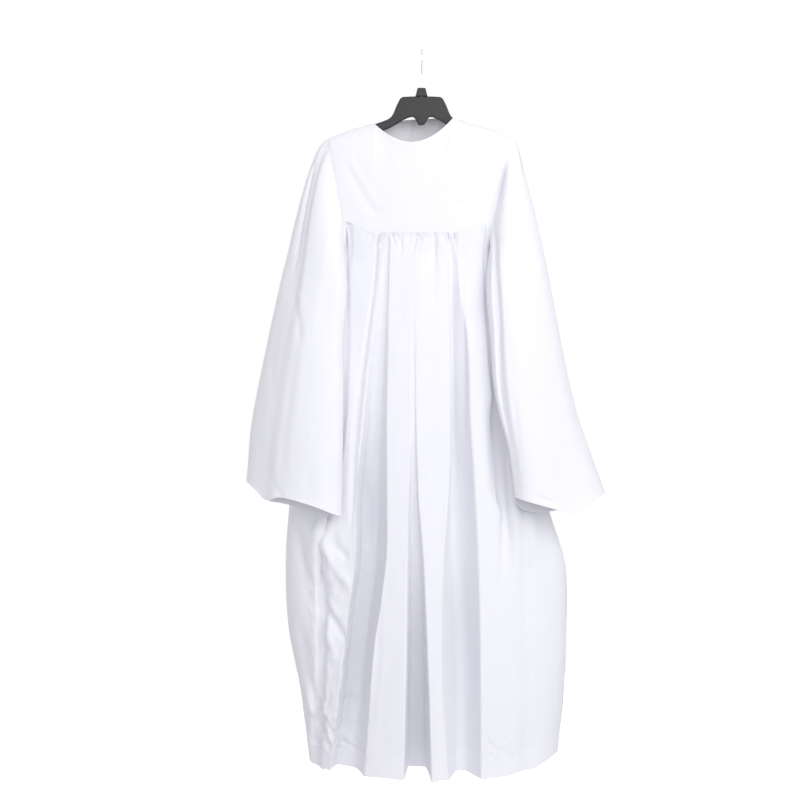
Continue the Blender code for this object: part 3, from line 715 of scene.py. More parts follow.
def pressed_in(face, c, z, down, seam_x):
    """How deep the folds and gathers lie at column c and height z. seam_x is where c starts."""
    total = np.zeros(np.broadcast(c, z).shape)
    for k, fold in enumerate(FOLDS[face]):
        middle = 3 * k + 2
        wall, crisp = (np.where(c < middle, *fold[name]) for name in ("wall", "crisp"))
        depth = np.clip(smooth(fold, "depth", z), 0, None)
        t = np.clip((1 - np.abs(c - middle)) / wall, 0, 1)
        total = total + depth * mix(ease(t), t * (2 - t), crisp) * ease(down / 20)
    for x, depth, half, length, slant in zip(*GATHERS[face].values()):
        off = (seam_x - x - slant * down) / (half * (1 + down / 70))
        shown = ease((down + 3) / 9) * ease(1.05 - down / length)
        total = total + depth * np.exp(-np.abs(off) ** 1.5) * shown
    return total


def skirt(face, c, falls):
    """Grid of a skirt panel. c is a place among its lines, and falls runs down to 1 at the hem."""
    top = skirt_top(face, c)
    from_right = last_line(face) - c
    sway = 5 * hills(top[:, 0] / 46 + 9, top[:, 0] * 0 + 0.4, 11)
    left_corner, right_corner = 15 * ease(1 - c / 1.6), 20 * ease(1 - from_right / 1.6)
    right_side = 7 * ease((5 - from_right) / 3)
    hem = HEM_Z + sway + left_corner + right_corner + right_side
    z = mix(top[:, 2], hem, falls[:, None])
    down = top[:, 2] - z
    left, right, stand = (smooth(SKIRT, name, z) for name in (*SIDES, face))
    x = mix(top[:, 0], along(skirt_lines(face, z, left, right), c), ease(down / 80))
    across = np.clip(np.abs(2 * (x - left) / (right - left) - 1), 0, 1)
    level = mix(np.abs(top[:, 1]), stand * (1 - across**1.5) ** 0.5, ease(down / 90))
    pressed = np.minimum(pressed_in(face, c, z, down, top[:, 0]), DEEPEST_SHARE * level)
    y = np.clip(level - pressed - 0.2 * ease(1 - down / 9), 0, None)
    y = y - SIDE_LAP * ease(down / 20) * ease(1 - np.minimum(c, from_right) / 0.3)
    return np.stack([x, -FACING[face] * y, z], -1)


def sleeve_lines(side, shares):
    """How far round a sleeve its lines lie: outer edge, front folds, inner edge, back fold."""
    folded = [line for fold in SLEEVE_FOLDS[side] for line in fold_lines(fold, shares)]
    outer, inner, end = (0 * shares + turn for turn in (0, 0.5, 1))
    before = INNER_LINE - 1
    return np.stack([outer, *folded[:before], inner, *folded[before:], end], -1)


def sleeve(side, c, shares):
    """Grid of a sleeve. c is a place among its lines, and shares runs down to 1 at the hem."""
    shape = SLEEVES[side]
    read = {name: smooth(shape, name, shares)[:, None] for name in shape}
    lines = sleeve_lines(side, shares)[:, None, :]
    turns = along(np.broadcast_to(lines, (len(shares), len(c), lines.shape[-1])), c)
    in_front = turns < 0.5
    angle = 2 * math.pi * turns
    across = (1 - np.cos(angle)) / 2
    front, back = np.clip(np.sin(angle), 0, 1), np.clip(-np.sin(angle), 0, 1)
    x = mix(read["ox"], read["ix"], across)
    y = mix(read["oy"], read["iy"], across) - read["front"] * front + read["back"] * back
    dips = [smooth(SLEEVE_HEMS[side], face, across) for face in FACES]
    dip = np.where(in_front, *dips) * ease(shares * 2 - 1)[:, None]
    z = mix(read["oz"], read["iz"], across) - dip - read["tail"] * back * (0.3 + 0.7 * across)
    for middle, fold in zip(SLEEVE_FOLD_LINES, SLEEVE_FOLDS[side]):
        depth = np.clip(smooth(fold, "depth", shares), 0, None)[:, None]
        inward = 1 if middle < INNER_LINE else -1
        y = y + inward * depth * ease((1 - np.abs(c - middle)) / 0.9)
    half_turn = np.where(in_front, angle, 2 * math.pi - angle)
    seam = np.where(in_front[..., None], *(armhole(side, face, half_turn) for face in FACES))
    seam[..., 0] -= 0.5 * FACING[side]
    joined = np.sin(np.clip(shares / 0.14, 0, 1) * math.pi / 2)[:, None, None]
    return mix(seam, np.stack([x, y, z], -1), joined)


def hills(x, y, seed):
    """Uneven smooth hills and hollows between about -1 and 1, the same at every run."""
    size = 64
    turned = np.random.default_rng(seed).uniform(0, 2 * math.pi, (size, size))
    i, j = np.floor(x).astype(int), np.floor(y).astype(int)
    total = 0
    for a in (0, 1):
        for b in (0, 1):
            dx, dy = x - i - a, y - j - b
            angle = turned[(i + a) % size, (j + b) % size]
            slope = np.cos(angle) * dx + np.sin(angle) * dy
            total = total + slope * ease(1 - np.abs(dx)) * ease(1 - np.abs(dy))
    return 1.4 * total


def stepped(stops, counts):
    """Values from the first stop to the last, with this many even steps from each to the next."""
    parts = [np.linspace(a, b, n + 1)[:-1] for a, b, n in zip(stops, stops[1:], counts)]
    return np.append(np.concatenate(parts), stops[-1])


def spread(grid_of, last, pitch):
    """Places from 0 to last whose columns lie about this far apart where they are widest."""
    c = np.linspace(0, last, 40 * last + 1)
    steps = np.linalg.norm(np.diff(grid_of(c), axis=1), axis=-1).max(axis=0)
    length = np.append(0, np.cumsum(steps))
    return np.interp(np.linspace(0, length[-1], int(length[-1] / pitch) + 1), length, c)


def lengths(grid, axis):
    """How far along the cloth each point of a grid lies from the first one."""
    steps = np.diff(grid, axis=axis, prepend=grid.take([0], axis))
    return np.cumsum(np.linalg.norm(steps, axis=-1), axis=axis)


def faced(grid, facing, tube=False):
    """Unit normals of a grid, on the side that shows."""
    across = np.roll(grid, -1, 1) - np.roll(grid, 1, 1) if tube else np.gradient(grid, axis=1)
    normal = np.cross(np.gradient(grid, axis=0), across) * facing
    return normal / np.clip(np.linalg.norm(normal, axis=-1, keepdims=True), 1e-9, None)


def creased(grid, normal, creases, shown):
    """The grid with its listed creases pressed in. shown is 1 where they apply, else 0."""
    flat = grid[..., [0, 2]]
    pushed = np.zeros(grid.shape[:2])
    t = np.linspace(0, 1, 15)[:, None]
    for *ends, depth, half, lean in zip(*creases.values()):
        first, middle, last = np.reshape(ends, (3, 2))
        curve = first * (1 - t) * (1 - 2 * t) + middle * 4 * t * (1 - t) + last * t * (2 * t - 1)
        reach = 3 * half
        near = ((flat > curve.min(0) - reach) & (flat < curve.max(0) + reach)).all(-1)
        p = flat[near][:, None, :]
        edge = np.diff(curve, axis=0)
        part = np.clip(((p - curve[:-1]) * edge).sum(-1) / (edge**2).sum(-1), 0, 1)
        off = p - curve[:-1] - part[..., None] * edge
        far = np.linalg.norm(off, axis=-1)
        best = far.argmin(1)[:, None]
        side = np.sign(edge[:, 0] * off[..., 1] - edge[:, 1] * off[..., 0])
        q = np.take_along_axis(far * side, best, 1)[:, 0] / half
        s = (best[:, 0] + np.take_along_axis(part, best, 1)[:, 0]) / len(edge)
        shape = (1.6 * lean * q - (1 - abs(lean))) * np.exp(-(q**2))
        pushed[near] += depth * shape * np.clip(4 * s * (1 - s), 0, 1) ** 0.7
    return grid + normal * (pushed * shown)[..., None]


def settle(grid, facing, name, seed, tube=False, shown=1):
    """Adds the listed creases, and then the slight unevenness of cloth that has hung."""
    grid = creased(grid, faced(grid, facing, tube), CREASES[name], shown)
    x, z = grid[..., 0], grid[..., 2]
    strength = sizes().unevenness * ease((grid[0, :, 2].mean() - z) / 60)
    wide = 1.3 * hills(x / 52 + seed, z / 210, seed)
    narrow = 0.6 * hills(x / 24 + seed, z / 90, seed + 1)
    return grid + faced(grid, facing, tube) * ((wide + narrow) * strength)[..., None]


def crumples(grid, facing, x1, z1, x2, z2, depth, wide, seed):
    """Sharp little folds about this wide, where the cloth is crushed in a box."""
    x, z = grid[..., 0], grid[..., 2]
    inside = ease((x - x1) / 22) * ease((x2 - x) / 22) * ease((z - z1) / 40) * ease((z2 - z) / 40)
    ridge = (1 - np.abs(hills(x / wide + seed, z / wide / 1.6, seed))) ** 3 - 0.4
    return grid + faced(grid, facing) * (depth * inside * ridge)[..., None]


def sizes():
    return bpy.context.scene.gown_sizes


def colours():
    return bpy.context.scene.gown_colours


def add(name, data):
    """A new object in the scene."""
    obj = bpy.data.objects.new(name, data)
    bpy.context.scene.collection.objects.link(obj)
    return obj


def built(name, points, faces):
    """A smooth mesh, from points in millimetres."""
    mesh = bpy.data.meshes.new(name)
    mesh.from_pydata((points * MM).tolist(), [], faces.tolist())
    mesh.shade_smooth()
    return mesh


def sewn(name, grid, facing, to_edge, turn, tube=False):
    """A closed piece of cloth through a grid. to_edge is how far each point lies from the turned
    edge, and turn is the width of that edge, where the cloth is thicker on its inner side."""
    rows, columns = grid.shape[:2]
    normal = faced(grid, facing, tube)
    cloth = sizes().cloth / MM
    half = cloth / 2
    thicker = 1.1 * cloth * ease((turn + 0.6 - to_edge) / 1.6)
    points = np.stack([grid + normal * half, grid - normal * (half + thicker[..., None])])

    rs, cs = np.arange(rows - 1), np.arange(columns - 1 + tube)
    r, c = (a.ravel() for a in np.meshgrid(rs, cs, indexing="ij"))
    top, low, left, right = 0 * cs, 0 * cs + rows - 1, 0 * rs, 0 * rs + columns - 1
    quads = [
        [(r, c, 0), (r + 1, c, 0), (r + 1, c + 1, 0), (r, c + 1, 0)],
        [(r, c + 1, 1), (r + 1, c + 1, 1), (r + 1, c, 1), (r, c, 1)],
        [(top, cs, 0), (top, cs + 1, 0), (top, cs + 1, 1), (top, cs, 1)],
        [(low, cs + 1, 0), (low, cs, 0), (low, cs, 1), (low, cs + 1, 1)],
    ]
    if not tube:
        quads += [
            [(rs + 1, left, 0), (rs, left, 0), (rs, left, 1), (rs + 1, left, 1)],
            [(rs, right, 0), (rs + 1, right, 0), (rs + 1, right, 1), (rs, right, 1)],
        ]

    def corners(number):
        parts = [np.stack([number(*corner) for corner in quad], -1) for quad in quads]
        return np.concatenate(parts)[:, ::facing]

    faces = corners(lambda a, b, layer: (layer * rows + a) * columns + b % columns)
    mesh = built(name, points.reshape(-1, 3), faces)
    if tube:
        grid = np.concatenate([grid, grid[:, :1]], axis=1)
    u = lengths(grid, 1)
    uv = np.stack([u - u.mean(axis=1, keepdims=True), lengths(grid, 0)], -1).reshape(-1, 2) * MM
    places = corners(lambda a, b, layer: a * (columns + tube) + b)
    mesh.uv_layers.new(name="cloth").uv.foreach_set("vector", uv[places].ravel())
    marks = mesh.attributes.new("to_edge", "FLOAT", "POINT")
    marks.data.foreach_set("value", np.tile(to_edge.ravel() * MM, 2))
    mesh.set_sharp_from_angle(angle=math.radians(70))
    return add(name, mesh)


def fit(obj, finish, slot, *nodes):
    """Gives a piece its finish, and puts it in the place of the plain solids with these names."""
    obj.data.materials.append(finish)
    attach(obj, "root")
    if nodes:
        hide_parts(*nodes)


def feed(socket, value):
    """Sets an input to a number or a colour, or links it to another node's output."""
    if isinstance(value, bpy.types.NodeSocket):
        socket.id_data.links.new(value, socket)
    else:
        socket.default_value = value


def new_node(tree, kind, inputs=None, output=0, **settings):
    """The output of a new node."""
    made = tree.nodes.new(kind)
    for name, value in settings.items():
        setattr(made, name, value)
    for name, value in (inputs or {}).items():
        feed(made.inputs[name], value)
    return made.outputs[output]


class Finish:
    """A material whose nodes are added one at a time. solid is the place in the object."""

    def __init__(self, name):
        self.material = bpy.data.materials.new(name)
        self.material.use_nodes = True
        self.shader = self.material.node_tree.nodes["Principled BSDF"]
        self.solid = self.node("ShaderNodeTexCoord", output="Object")

    def node(self, kind, *inputs, **settings):
        return new_node(self.material.node_tree, kind, *inputs, **settings)

    def math(self, operation, a, b=0.0, clamp=False):
        return self.node("ShaderNodeMath", {0: a, 1: b}, operation=operation, use_clamp=clamp)

    def times(self, a, b):
        return self.math("MULTIPLY", a, b)

    def plus(self, a, b, clamp=False):
        return self.math("ADD", a, b, clamp)

    def set(self, **sockets):
        for name, value in sockets.items():
            name = name.replace("_", " ").title().replace("Ior", "IOR")
            feed(self.shader.inputs[name], value)

    def noise(self, where, scale, detail=3.0, roughness=0.5, stretch=None):
        if stretch:
            where = self.node("ShaderNodeMapping", {"Vector": where, "Scale": stretch})
        inputs = {"Vector": where, "Scale": scale, "Detail": detail, "Roughness": roughness}
        return self.node("ShaderNodeTexNoise", inputs)

    def between(self, value, to_low, to_high, low=0.3, high=0.7):
        """The value carried from between low and high, where most noise lies, to a new range."""
        inputs = {"From Min": low, "From Max": high, "To Min": to_low, "To Max": to_high}
        return self.node("ShaderNodeMapRange", {"Value": value, **inputs})

    def colour(self, amount, dark, light):
        inputs = {"Factor": amount, "A": (*dark, 1.0), "B": (*light, 1.0)}
        return self.node("ShaderNodeMix", inputs, output=2, data_type="RGBA")

    def bump(self, height):
        """Height in metres."""
        self.set(normal=self.node("ShaderNodeBump", {"Height": height, "Distance": 1.0}))


def dimmed(colour, share):
    return tuple(value * share for value in colour)


def cotton(part, hem, crumple):
    """Plain woven cotton for a part of the gown. hem is the width of its turned edge and crumple is
    the height of its small creases, both in metres."""
    made = Finish(f"{part}_cotton")
    colour = getattr(colours(), part)
    cloth = made.node("ShaderNodeUVMap", uv_map="cloth")
    to_edge = made.node("ShaderNodeAttribute", output="Fac", attribute_name="to_edge")

    across, down = (made.node("ShaderNodeSeparateXYZ", {0: cloth}, output=k) for k in (0, 1))
    warp = made.math("SINE", made.times(across, 2 * math.pi / sizes().weave))
    weft = made.math("SINE", made.times(down, 2 * math.pi / (sizes().weave * 1.15)))
    slub = made.noise(cloth, 1.0, 2.0, stretch=(40.0, 900.0, 1.0))
    weave = made.times(made.times(warp, weft), made.between(slub, 0.5, 1.2))
    height = made.times(weave, WEAVE_HEIGHT)

    soft = made.noise(made.solid, 26.0, 4.0, 0.55, stretch=(1.0, 1.0, 0.45))
    height = made.plus(height, made.times(soft, 2.0 * crumple))
    sharp = made.noise(made.solid, 55.0, stretch=(1.0, 1.0, 0.6))
    off = made.times(made.math("ABSOLUTE", made.math("SUBTRACT", sharp, 0.5)), 5.0)
    ridge = made.math("POWER", made.math("SUBTRACT", 1.0, off, clamp=True), 3.0)
    height = made.plus(height, made.times(ridge, 0.5 * crumple))

    from_stitch = made.math("ABSOLUTE", made.math("SUBTRACT", to_edge, hem))
    near_stitch = made.between(from_stitch, 1.0, 0.0, 0.0, 0.010)
    pucker = made.noise(cloth, 1.0, 2.0, stretch=(210.0, 18.0, 1.0))
    pucker = made.times(made.times(pucker, near_stitch), PUCKER_HEIGHT)
    groove = made.between(from_stitch, -GROOVE_DEPTH, 0.0, 0.0, 0.0016)
    made.bump(made.plus(made.plus(height, pucker), groove))

    turned = made.between(to_edge, 1.0, 0.0, hem - 0.001, hem + 0.001)
    blotch = made.noise(made.solid, 5.0)
    shade = made.plus(made.times(blotch, 0.55), made.times(turned, 0.30))
    shade = made.plus(shade, made.times(slub, 0.15), clamp=True)
    made.set(
        base_color=made.colour(shade, dimmed(colour, 0.965), colour),
        roughness=made.between(made.noise(cloth, 60.0, 2.0), 0.76, 0.90),
        sheen_weight=0.18,
        sheen_roughness=0.45,
        specular_ior_level=0.25,
        subsurface_weight=0.10,
        subsurface_radius=(1.0, 1.0, 1.0),
        subsurface_scale=0.003,
    )
    return made.material


def thread(name):
    """Twisted sewing thread."""
    made = Finish(name)
    colour = colours().thread
    twist = made.noise(made.solid, 1.0, 1.0, stretch=(900.0, 900.0, 2600.0))
    made.set(
        base_color=made.colour(twist, dimmed(colour, 0.86), colour),
        roughness=made.between(twist, 0.45, 0.65),
        sheen_weight=0.2,
    )
    made.bump(made.times(twist, 0.00012))
    return made.material


def plastic(name, colour, roughness, grain):
    """Moulded plastic with a fine grain of this height in metres, and a little scuffing."""
    made = Finish(name)
    cloudy = made.noise(made.solid, 28.0, 4.0)
    scuff = made.noise(made.solid, 1.0, stretch=(30.0, 30.0, 260.0))
    worn = made.between(scuff, 0.0, 1.0, 0.60, 0.72)
    lighter = tuple(min(1.0, value * 1.5 + 0.006) for value in colour)
    amount = made.plus(made.times(cloudy, 0.4), made.times(worn, 0.3), clamp=True)
    rough = made.between(cloudy, roughness - 0.05, roughness + 0.06)
    made.set(
        base_color=made.colour(amount, colour, lighter),
        roughness=made.plus(rough, made.times(worn, 0.08)),
    )
    made.bump(made.times(made.noise(made.solid, 1400.0, 2.0), grain))
    return made.material


def plated_wire(name, colour):
    """Bright plated wire with faint drawing marks."""
    made = Finish(name)
    drawn = made.noise(made.solid, 1.0, 2.0, stretch=(2600.0, 2600.0, 60.0))
    made.set(
        base_color=made.colour(made.noise(made.solid, 70.0), dimmed(colour, 0.86), colour),
        roughness=made.between(drawn, 0.16, 0.30),
        metallic=1.0,
    )
    made.bump(made.times(drawn, 0.00002))
    return made.material


def tucked(grid, to_edge, away, wide):
    """Adds a margin of cloth this wide at the top, behind the piece that this one is sewn to."""
    margin = [grid[0] + away * t for t in (1.0, 0.5)]
    edges = [to_edge[0] + wide * t for t in (1.0, 0.5)]
    return np.concatenate([margin, grid]), np.concatenate([edges, to_edge])


def stitch_line(grid, normal, where):
    """A line on the outer side of the cloth, and the cloth's normals along it."""
    return (grid + normal * sizes().cloth / MM / 2)[where], normal[where]


def nearest(values, value):
    return int(np.argmin(np.abs(values - value)))


def make_skirt(face):
    """One panel of the skirt, and the line of stitches along its hem."""
    facing = FACING[face]
    length = YOKE_SEAM_Z - HEM_Z
    hem = sizes().skirt_hem / MM
    fold = length - hem
    stops = (0, 30, 130, 700, fold - HEM_BAND, fold + HEM_BAND, length)
    down = stepped(stops, (13, 17, 41, 65, 8, 6))
    falls = down / length
    pitch = sizes().skirt_column / MM
    columns = spread(lambda c: skirt(face, c, falls[20::18]), last_line(face), pitch)
    seed = {"front": 3, "back": 7}[face]
    grid = settle(skirt(face, columns, falls), facing, f"skirt_{face}", seed)
    for crushed in CRUMPLES[face]:
        grid = crumples(grid, facing, *crushed)
    run = stitch_line(grid, faced(grid, facing), nearest(down, fold))
    to_edge = lengths(grid[::-1], 0)[::-1]
    grid, to_edge = tucked(grid, to_edge, np.array([0, facing, 6.0]), 6)
    return sewn(f"{face}_skirt", grid, facing, to_edge, hem), run


def make_sleeve(side):
    """One sleeve, and the line of stitches round its hem."""
    facing = FACING[side]
    hem = sizes().sleeve_hem / MM
    low, high = (1 - (hem + band) / SLEEVE_LENGTH for band in (-HEM_BAND, HEM_BAND))
    shares = stepped((0, 0.05, 0.16, high, low, 1), (11, 15, 77, 8, 4))
    pitch = sizes().sleeve_column / MM
    columns = spread(lambda c: sleeve(side, c, shares[12::12]), LAST_LINE, pitch)[:-1]
    in_front = (columns < INNER_LINE)[None, :]
    seed = {"left": 5, "right": 9}[side]
    grid = sleeve(side, columns, shares)
    grid = settle(grid, facing, f"sleeve_{side}", seed, True, in_front)
    row = nearest(shares, 1 - hem / SLEEVE_LENGTH)
    line, normal = stitch_line(grid, faced(grid, facing, True), row)
    to_edge = lengths(grid[::-1], 0)[::-1]
    flat = 0 * grid[0, :, 0]
    away = np.stack([flat + 4 * facing, -np.sign(grid[0, :, 1]) * 1.2, flat], -1)
    grid, to_edge = tucked(grid, to_edge, away, 4)
    closed = tuple(np.concatenate([part, part[:1]]) for part in (line, normal))
    return sewn(f"{side}_sleeve", grid, facing, to_edge, hem, tube=True), closed


def yoke_columns(start, end):
    """Columns of a yoke from start to end along its top, closer together at the neck's corners."""
    pitch, least = 2.6, 0.6
    steps = np.array((0, 0.4, 1, 1.8, 3, 4.5, 6.5))
    close = [corner + sign * steps for corner in NECK_CORNERS for sign in (-1, 1)]
    marks = np.sort(np.concatenate([np.arange(-SHOULDER_X, SHOULDER_X, pitch), *close]))
    marks = marks[(marks > start + least) & (marks < end - least)]
    return np.array([start, *marks, end]) / SHOULDER_X


def neck_distance(grid):
    """How far below the neck's edge each point of a yoke lies, and which columns start there.
    The others count as far away."""
    open_neck = neck(grid[0, :, 0]) > 0
    far_away = 100.0
    return np.where(open_neck, lengths(grid, 0), far_away), open_neck


def make_front_yoke():
    """The front yoke, and the line of stitches along the neck."""
    grid = yoke("front", yoke_columns(-SHOULDER_X, SHOULDER_X), YOKE_ROWS)
    grid = settle(grid, 1, "yoke_front", 13)
    to_edge, open_neck = neck_distance(grid)
    edge = sizes().neck_edge / MM
    row = nearest(to_edge[:, len(open_neck) // 2], edge)
    run = stitch_line(grid, faced(grid, 1), (row, open_neck))
    return sewn("front_yoke", grid, 1, to_edge, edge), run


def back_half(side):
    """Grid of one half of the back yoke. The right half laps over the left one."""
    if side == "left":
        return yoke("back", yoke_columns(-SHOULDER_X, GOWN_CENTRE_X + BACK_LAP), YOKE_ROWS)
    u = yoke_columns(GOWN_CENTRE_X - BACK_LAP, SHOULDER_X)
    grid = yoke("back", u, YOKE_ROWS)
    past = u * SHOULDER_X - GOWN_CENTRE_X
    over = 1 - ease((past - 1.5 * BACK_LAP) / (2.5 * BACK_LAP))
    grid[:, :, 1] += (sizes().cloth / MM + 0.8) * over
    return grid


def make_back_yoke(side):
    """One half of the back yoke, and the line of stitches down the lap."""
    grid = settle(back_half(side), -1, "yoke_back", 15)
    x = grid[..., 0]
    to_lap = np.abs(x - (x[:, -1:] if side == "left" else x[:, :1]))
    to_edge = np.minimum(neck_distance(grid)[0], to_lap * 0.3 + 0.2)
    column = nearest(x[0], GOWN_CENTRE_X + BACK_LAP - 3.5)
    run = stitch_line(grid, faced(grid, -1), np.s_[:, column])
    return sewn(f"back_yoke_{side}", grid, -1, to_edge, sizes().neck_edge / MM), run


def stitches(part, runs):
    """Sews rows of stitches on a part of the gown. Each run is a line of points on the cloth, with
    the cloth's normals there."""
    long, gap = sizes().stitch, sizes().stitch_gap
    wide = sizes().thread / MM / 2
    points, faces = [], []
    for line, normal in runs:
        at = lengths(line, 0)
        for start in np.arange(0, at[-1] - long / MM, (long + gap) / MM):
            ends = [start + long / MM * t for t in (0, 0.5, 1)]
            middle = np.array([[np.interp(s, at, line[:, k]) for k in range(3)] for s in ends])
            up = np.array([np.interp(ends[1], at, normal[:, k]) for k in range(3)])
            side = np.cross(middle[2] - middle[0], up)
            side = side / max(np.linalg.norm(side), 1e-9)
            faces.append(STITCH_FACES + len(points))
            for centre, share, lift in zip(middle, (0.45, 1.0, 0.45), (-0.12, 0.16, -0.12)):
                for a, b in ((1, 0), (0, 1), (-1, 0), (0, -1)):
                    points.append(centre + up * lift + (side * a + up * b) * wide * share)
    name = f"{part}_stitching"
    seams = add(name, built(name, np.array(points), np.concatenate(faces)))
    fit(seams, thread(f"{part}_thread"), f"{part}_cloth")


def disc_axis(node):
    """Middle and axis of a flat round CAD node, in metres. It is thinnest along its axis."""
    points = np.array([node.matrix_world @ v.co for v in node.data.vertices])
    middle = points.mean(axis=0)
    axis = np.linalg.svd(points - middle)[2][2]
    return Vector(middle), Vector(axis if axis[1] > 0 else -axis)


def from_curves(name, runs, closed=False, **settings):
    """A mesh of rods or plates along lines of points, in millimetres."""
    curve = bpy.data.curves.new(name, "CURVE")
    for setting, value in settings.items():
        setattr(curve, setting, value)
    for run in runs:
        spline = curve.splines.new("POLY")
        spline.points.add(len(run) - 1)
        for point, at in zip(spline.points, run):
            point.co = (*(c * MM for c in at), 1)
        spline.use_cyclic_u = closed
    shaped = add(name, curve)
    bpy.context.view_layer.update()
    mesh = bpy.data.meshes.new_from_object(shaped)
    bpy.data.objects.remove(shaped)
    mesh.name = name
    mesh.shade_smooth()
    return mesh


def turns(count):
    return [2 * math.pi * k / count for k in range(count)]


def round_button(name, middle, axis):
    """Flat four-hole button with a raised rim."""
    rounds = [(0, 0, BUTTON_RADIUS)]
    rounds += [(BUTTON_HOLE * a, BUTTON_HOLE * b, HOLE_RADIUS) for a in (-1, 1) for b in (-1, 1)]
    circles = [
        [(x + radius * math.cos(t), y + radius * math.sin(t), 0) for t in turns(40)]
        for x, y, radius in rounds
    ]
    mesh = from_curves(
        name, circles, closed=True, dimensions="2D", fill_mode="BOTH",
        extrude=0.45 * MM, bevel_depth=0.35 * MM, bevel_resolution=3,
    )
    bm = bmesh.new()
    bm.from_mesh(mesh)
    loops = [
        [bm.verts.new((r * math.cos(t) * MM, r * math.sin(t) * MM, z * MM)) for r, z in BUTTON_RIM]
        for t in turns(48)
    ]
    for near, far in zip(loops, loops[1:] + loops[:1]):
        for n in range(len(near)):
            m = (n + 1) % len(near)
            bm.faces.new((near[n], near[m], far[m], far[n]))
    bmesh.ops.recalc_face_normals(bm, faces=bm.faces)
    turned = axis.to_track_quat("Z", "Y").to_matrix().to_4x4()
    turned.translation = middle
    bmesh.ops.transform(bm, matrix=turned, verts=bm.verts)
    bm.to_mesh(mesh)
    bm.free()
    mesh.shade_smooth()
    mesh.set_sharp_from_angle(angle=math.radians(40))
    return add(name, mesh)


def button_threads(middle, axis):
    """Two crossed runs of three threads over a button's holes, in millimetres."""
    side = axis.cross(Vector((0, 0, 1))).normalized()
    up = side.cross(axis).normalized()
    runs = []
    for sign in (1, -1):
        for slip in (-0.28, 0.0, 0.28):
            shift = (side * sign - up) * slip * MM
            reach = (side + up * sign) * BUTTON_HOLE * MM
            places = [middle + reach * t + shift for t in (-1, -0.5, 0, 0.5, 1)]
            heights = (0.0, 0.95, 1.1, 0.95, 0.0)
            runs.append([(p + axis * h * MM) / MM for p, h in zip(places, heights)])
    return runs


def amount(name, description, default, **more):
    """A number that a user would change."""
    return bpy.props.FloatProperty(name=name, description=description, default=default, **more)


def length(name, description, default):
    """A length in metres that a user would change."""
    return amount(name, description, default, unit="LENGTH", precision=5)


def tint(name, description, default):
    """A colour that a user would change."""
    return bpy.props.FloatVectorProperty(
        name=name, description=description, default=default, subtype="COLOR"
    )


class GownSizes(bpy.types.PropertyGroup):
    """Sizes of the cloth and its sewing"""

    cloth: length("Cloth", "Thickness of the cotton", 0.0008)
    skirt_hem: length("Skirt hem", "Width of the turned-up hem of the skirt", 0.052)
    sleeve_hem: length("Sleeve hem", "Width of the turned hem of a sleeve", 0.025)
    neck_edge: length("Neck edge", "Width of the turned edge of the neck", 0.006)
    stitch: length("Stitch", "Length of one stitch", 0.0027)
    stitch_gap: length("Stitch gap", "Space between two stitches", 0.0007)
    thread: length("Thread", "Thickness of the sewing thread", 0.0005)
    weave: length("Weave", "Space between the threads of the cotton", 0.00055)
    skirt_column: length("Skirt detail", "Widest space between the skirt's columns", 0.0050)
    sleeve_column: length("Sleeve detail", "Widest space between a sleeve's columns", 0.0045)
    unevenness: amount(
        "Unevenness", "How uneven the hanging cloth is", 1.0, min=0.0, max=3.0, subtype="FACTOR"
    )


class GownColours(bpy.types.PropertyGroup):
    """Colours of the gown and its hanger"""

    yoke: tint("Yoke", "Colour of the yoke", (0.867, 0.869, 0.908))
    skirt: tint("Skirt", "Colour of the skirt", (0.857, 0.86, 0.912))
    sleeve: tint("Sleeves", "Colour of the sleeves", (0.862, 0.865, 0.912))
    thread: tint("Thread", "Colour of the sewing thread", (0.84, 0.84, 0.87))
    button: tint("Buttons", "Colour of the buttons", (0.80, 0.79, 0.77))
    hanger: tint("Hanger", "Colour of the hanger", (0.012, 0.012, 0.0135))
    clip: tint("Clip", "Colour of the clip on the hanger's neck", (0.009, 0.009, 0.010))
    wire: tint("Hook", "Colour of the wire hook", (0.78, 0.78, 0.80))


class GownStudio(bpy.types.PropertyGroup):
    """Floor, light and camera"""

    floor: tint("Floor", "Colour of the floor", (0.72, 0.72, 0.74))
    floor_drop: length("Floor below the hem", "How far the floor lies below the hem", 0.5)
    sky: tint("Background", "Colour of the even light all round", (0.975, 0.965, 1.0))
    sky_strength: amount("Background strength", "Strength of the even light all round", 0.62)
    floor_glow: amount("Floor glow", "How far the floor is lit up to match the background", 0.75)
    key: amount("Main light", "Power of the large light at the right", 60.0, unit="POWER")
    front: amount("Front light", "Power of the large light in front", 28.0, unit="POWER")
    back: amount("Back light", "Power of the large light behind", 40.0, unit="POWER")
    lens: amount("Lens", "Focal length of the camera", 66.2, subtype="DISTANCE_CAMERA")


class GOWN_OT_yoke(bpy.types.Operator):
    """Make the front yoke and the two halves of the back yoke"""

    bl_idname = "gown.yoke"
    bl_label = "Yoke"

    def execute(self, context):
        finish = cotton("yoke", sizes().neck_edge, 0.0002)
        front, neck_run = make_front_yoke()
        fit(front, finish, "yoke_cloth", "yoke_front")
        for side in SIDES:
            half, lap_run = make_back_yoke(side)
            fit(half, finish, "yoke_cloth", f"yoke_back_{side}")
        # The lap is sewn down on the right half only, which is the upper one and was made last
        stitches("yoke", [neck_run, lap_run])
        return {"FINISHED"}


class GOWN_OT_skirt(bpy.types.Operator):
    """Make the gathered front and back of the skirt, with the hem turned up and sewn"""

    bl_idname = "gown.skirt"
    bl_label = "Skirt"

    def execute(self, context):
        finish = cotton("skirt", sizes().skirt_hem, 0.0003)
        runs = []
        for face, flat, held_by, area in (
            ("front", (1.10, 1.30), "front_yoke", 1.15),
            ("back", (1.05, 1.30), "back_yoke_left", 1.05),
        ):
            obj, run = make_skirt(face)
            fit(obj, finish, "skirt_cloth", f"skirt_{face}")
            runs.append(run)
        stitches("skirt", runs)
        return {"FINISHED"}


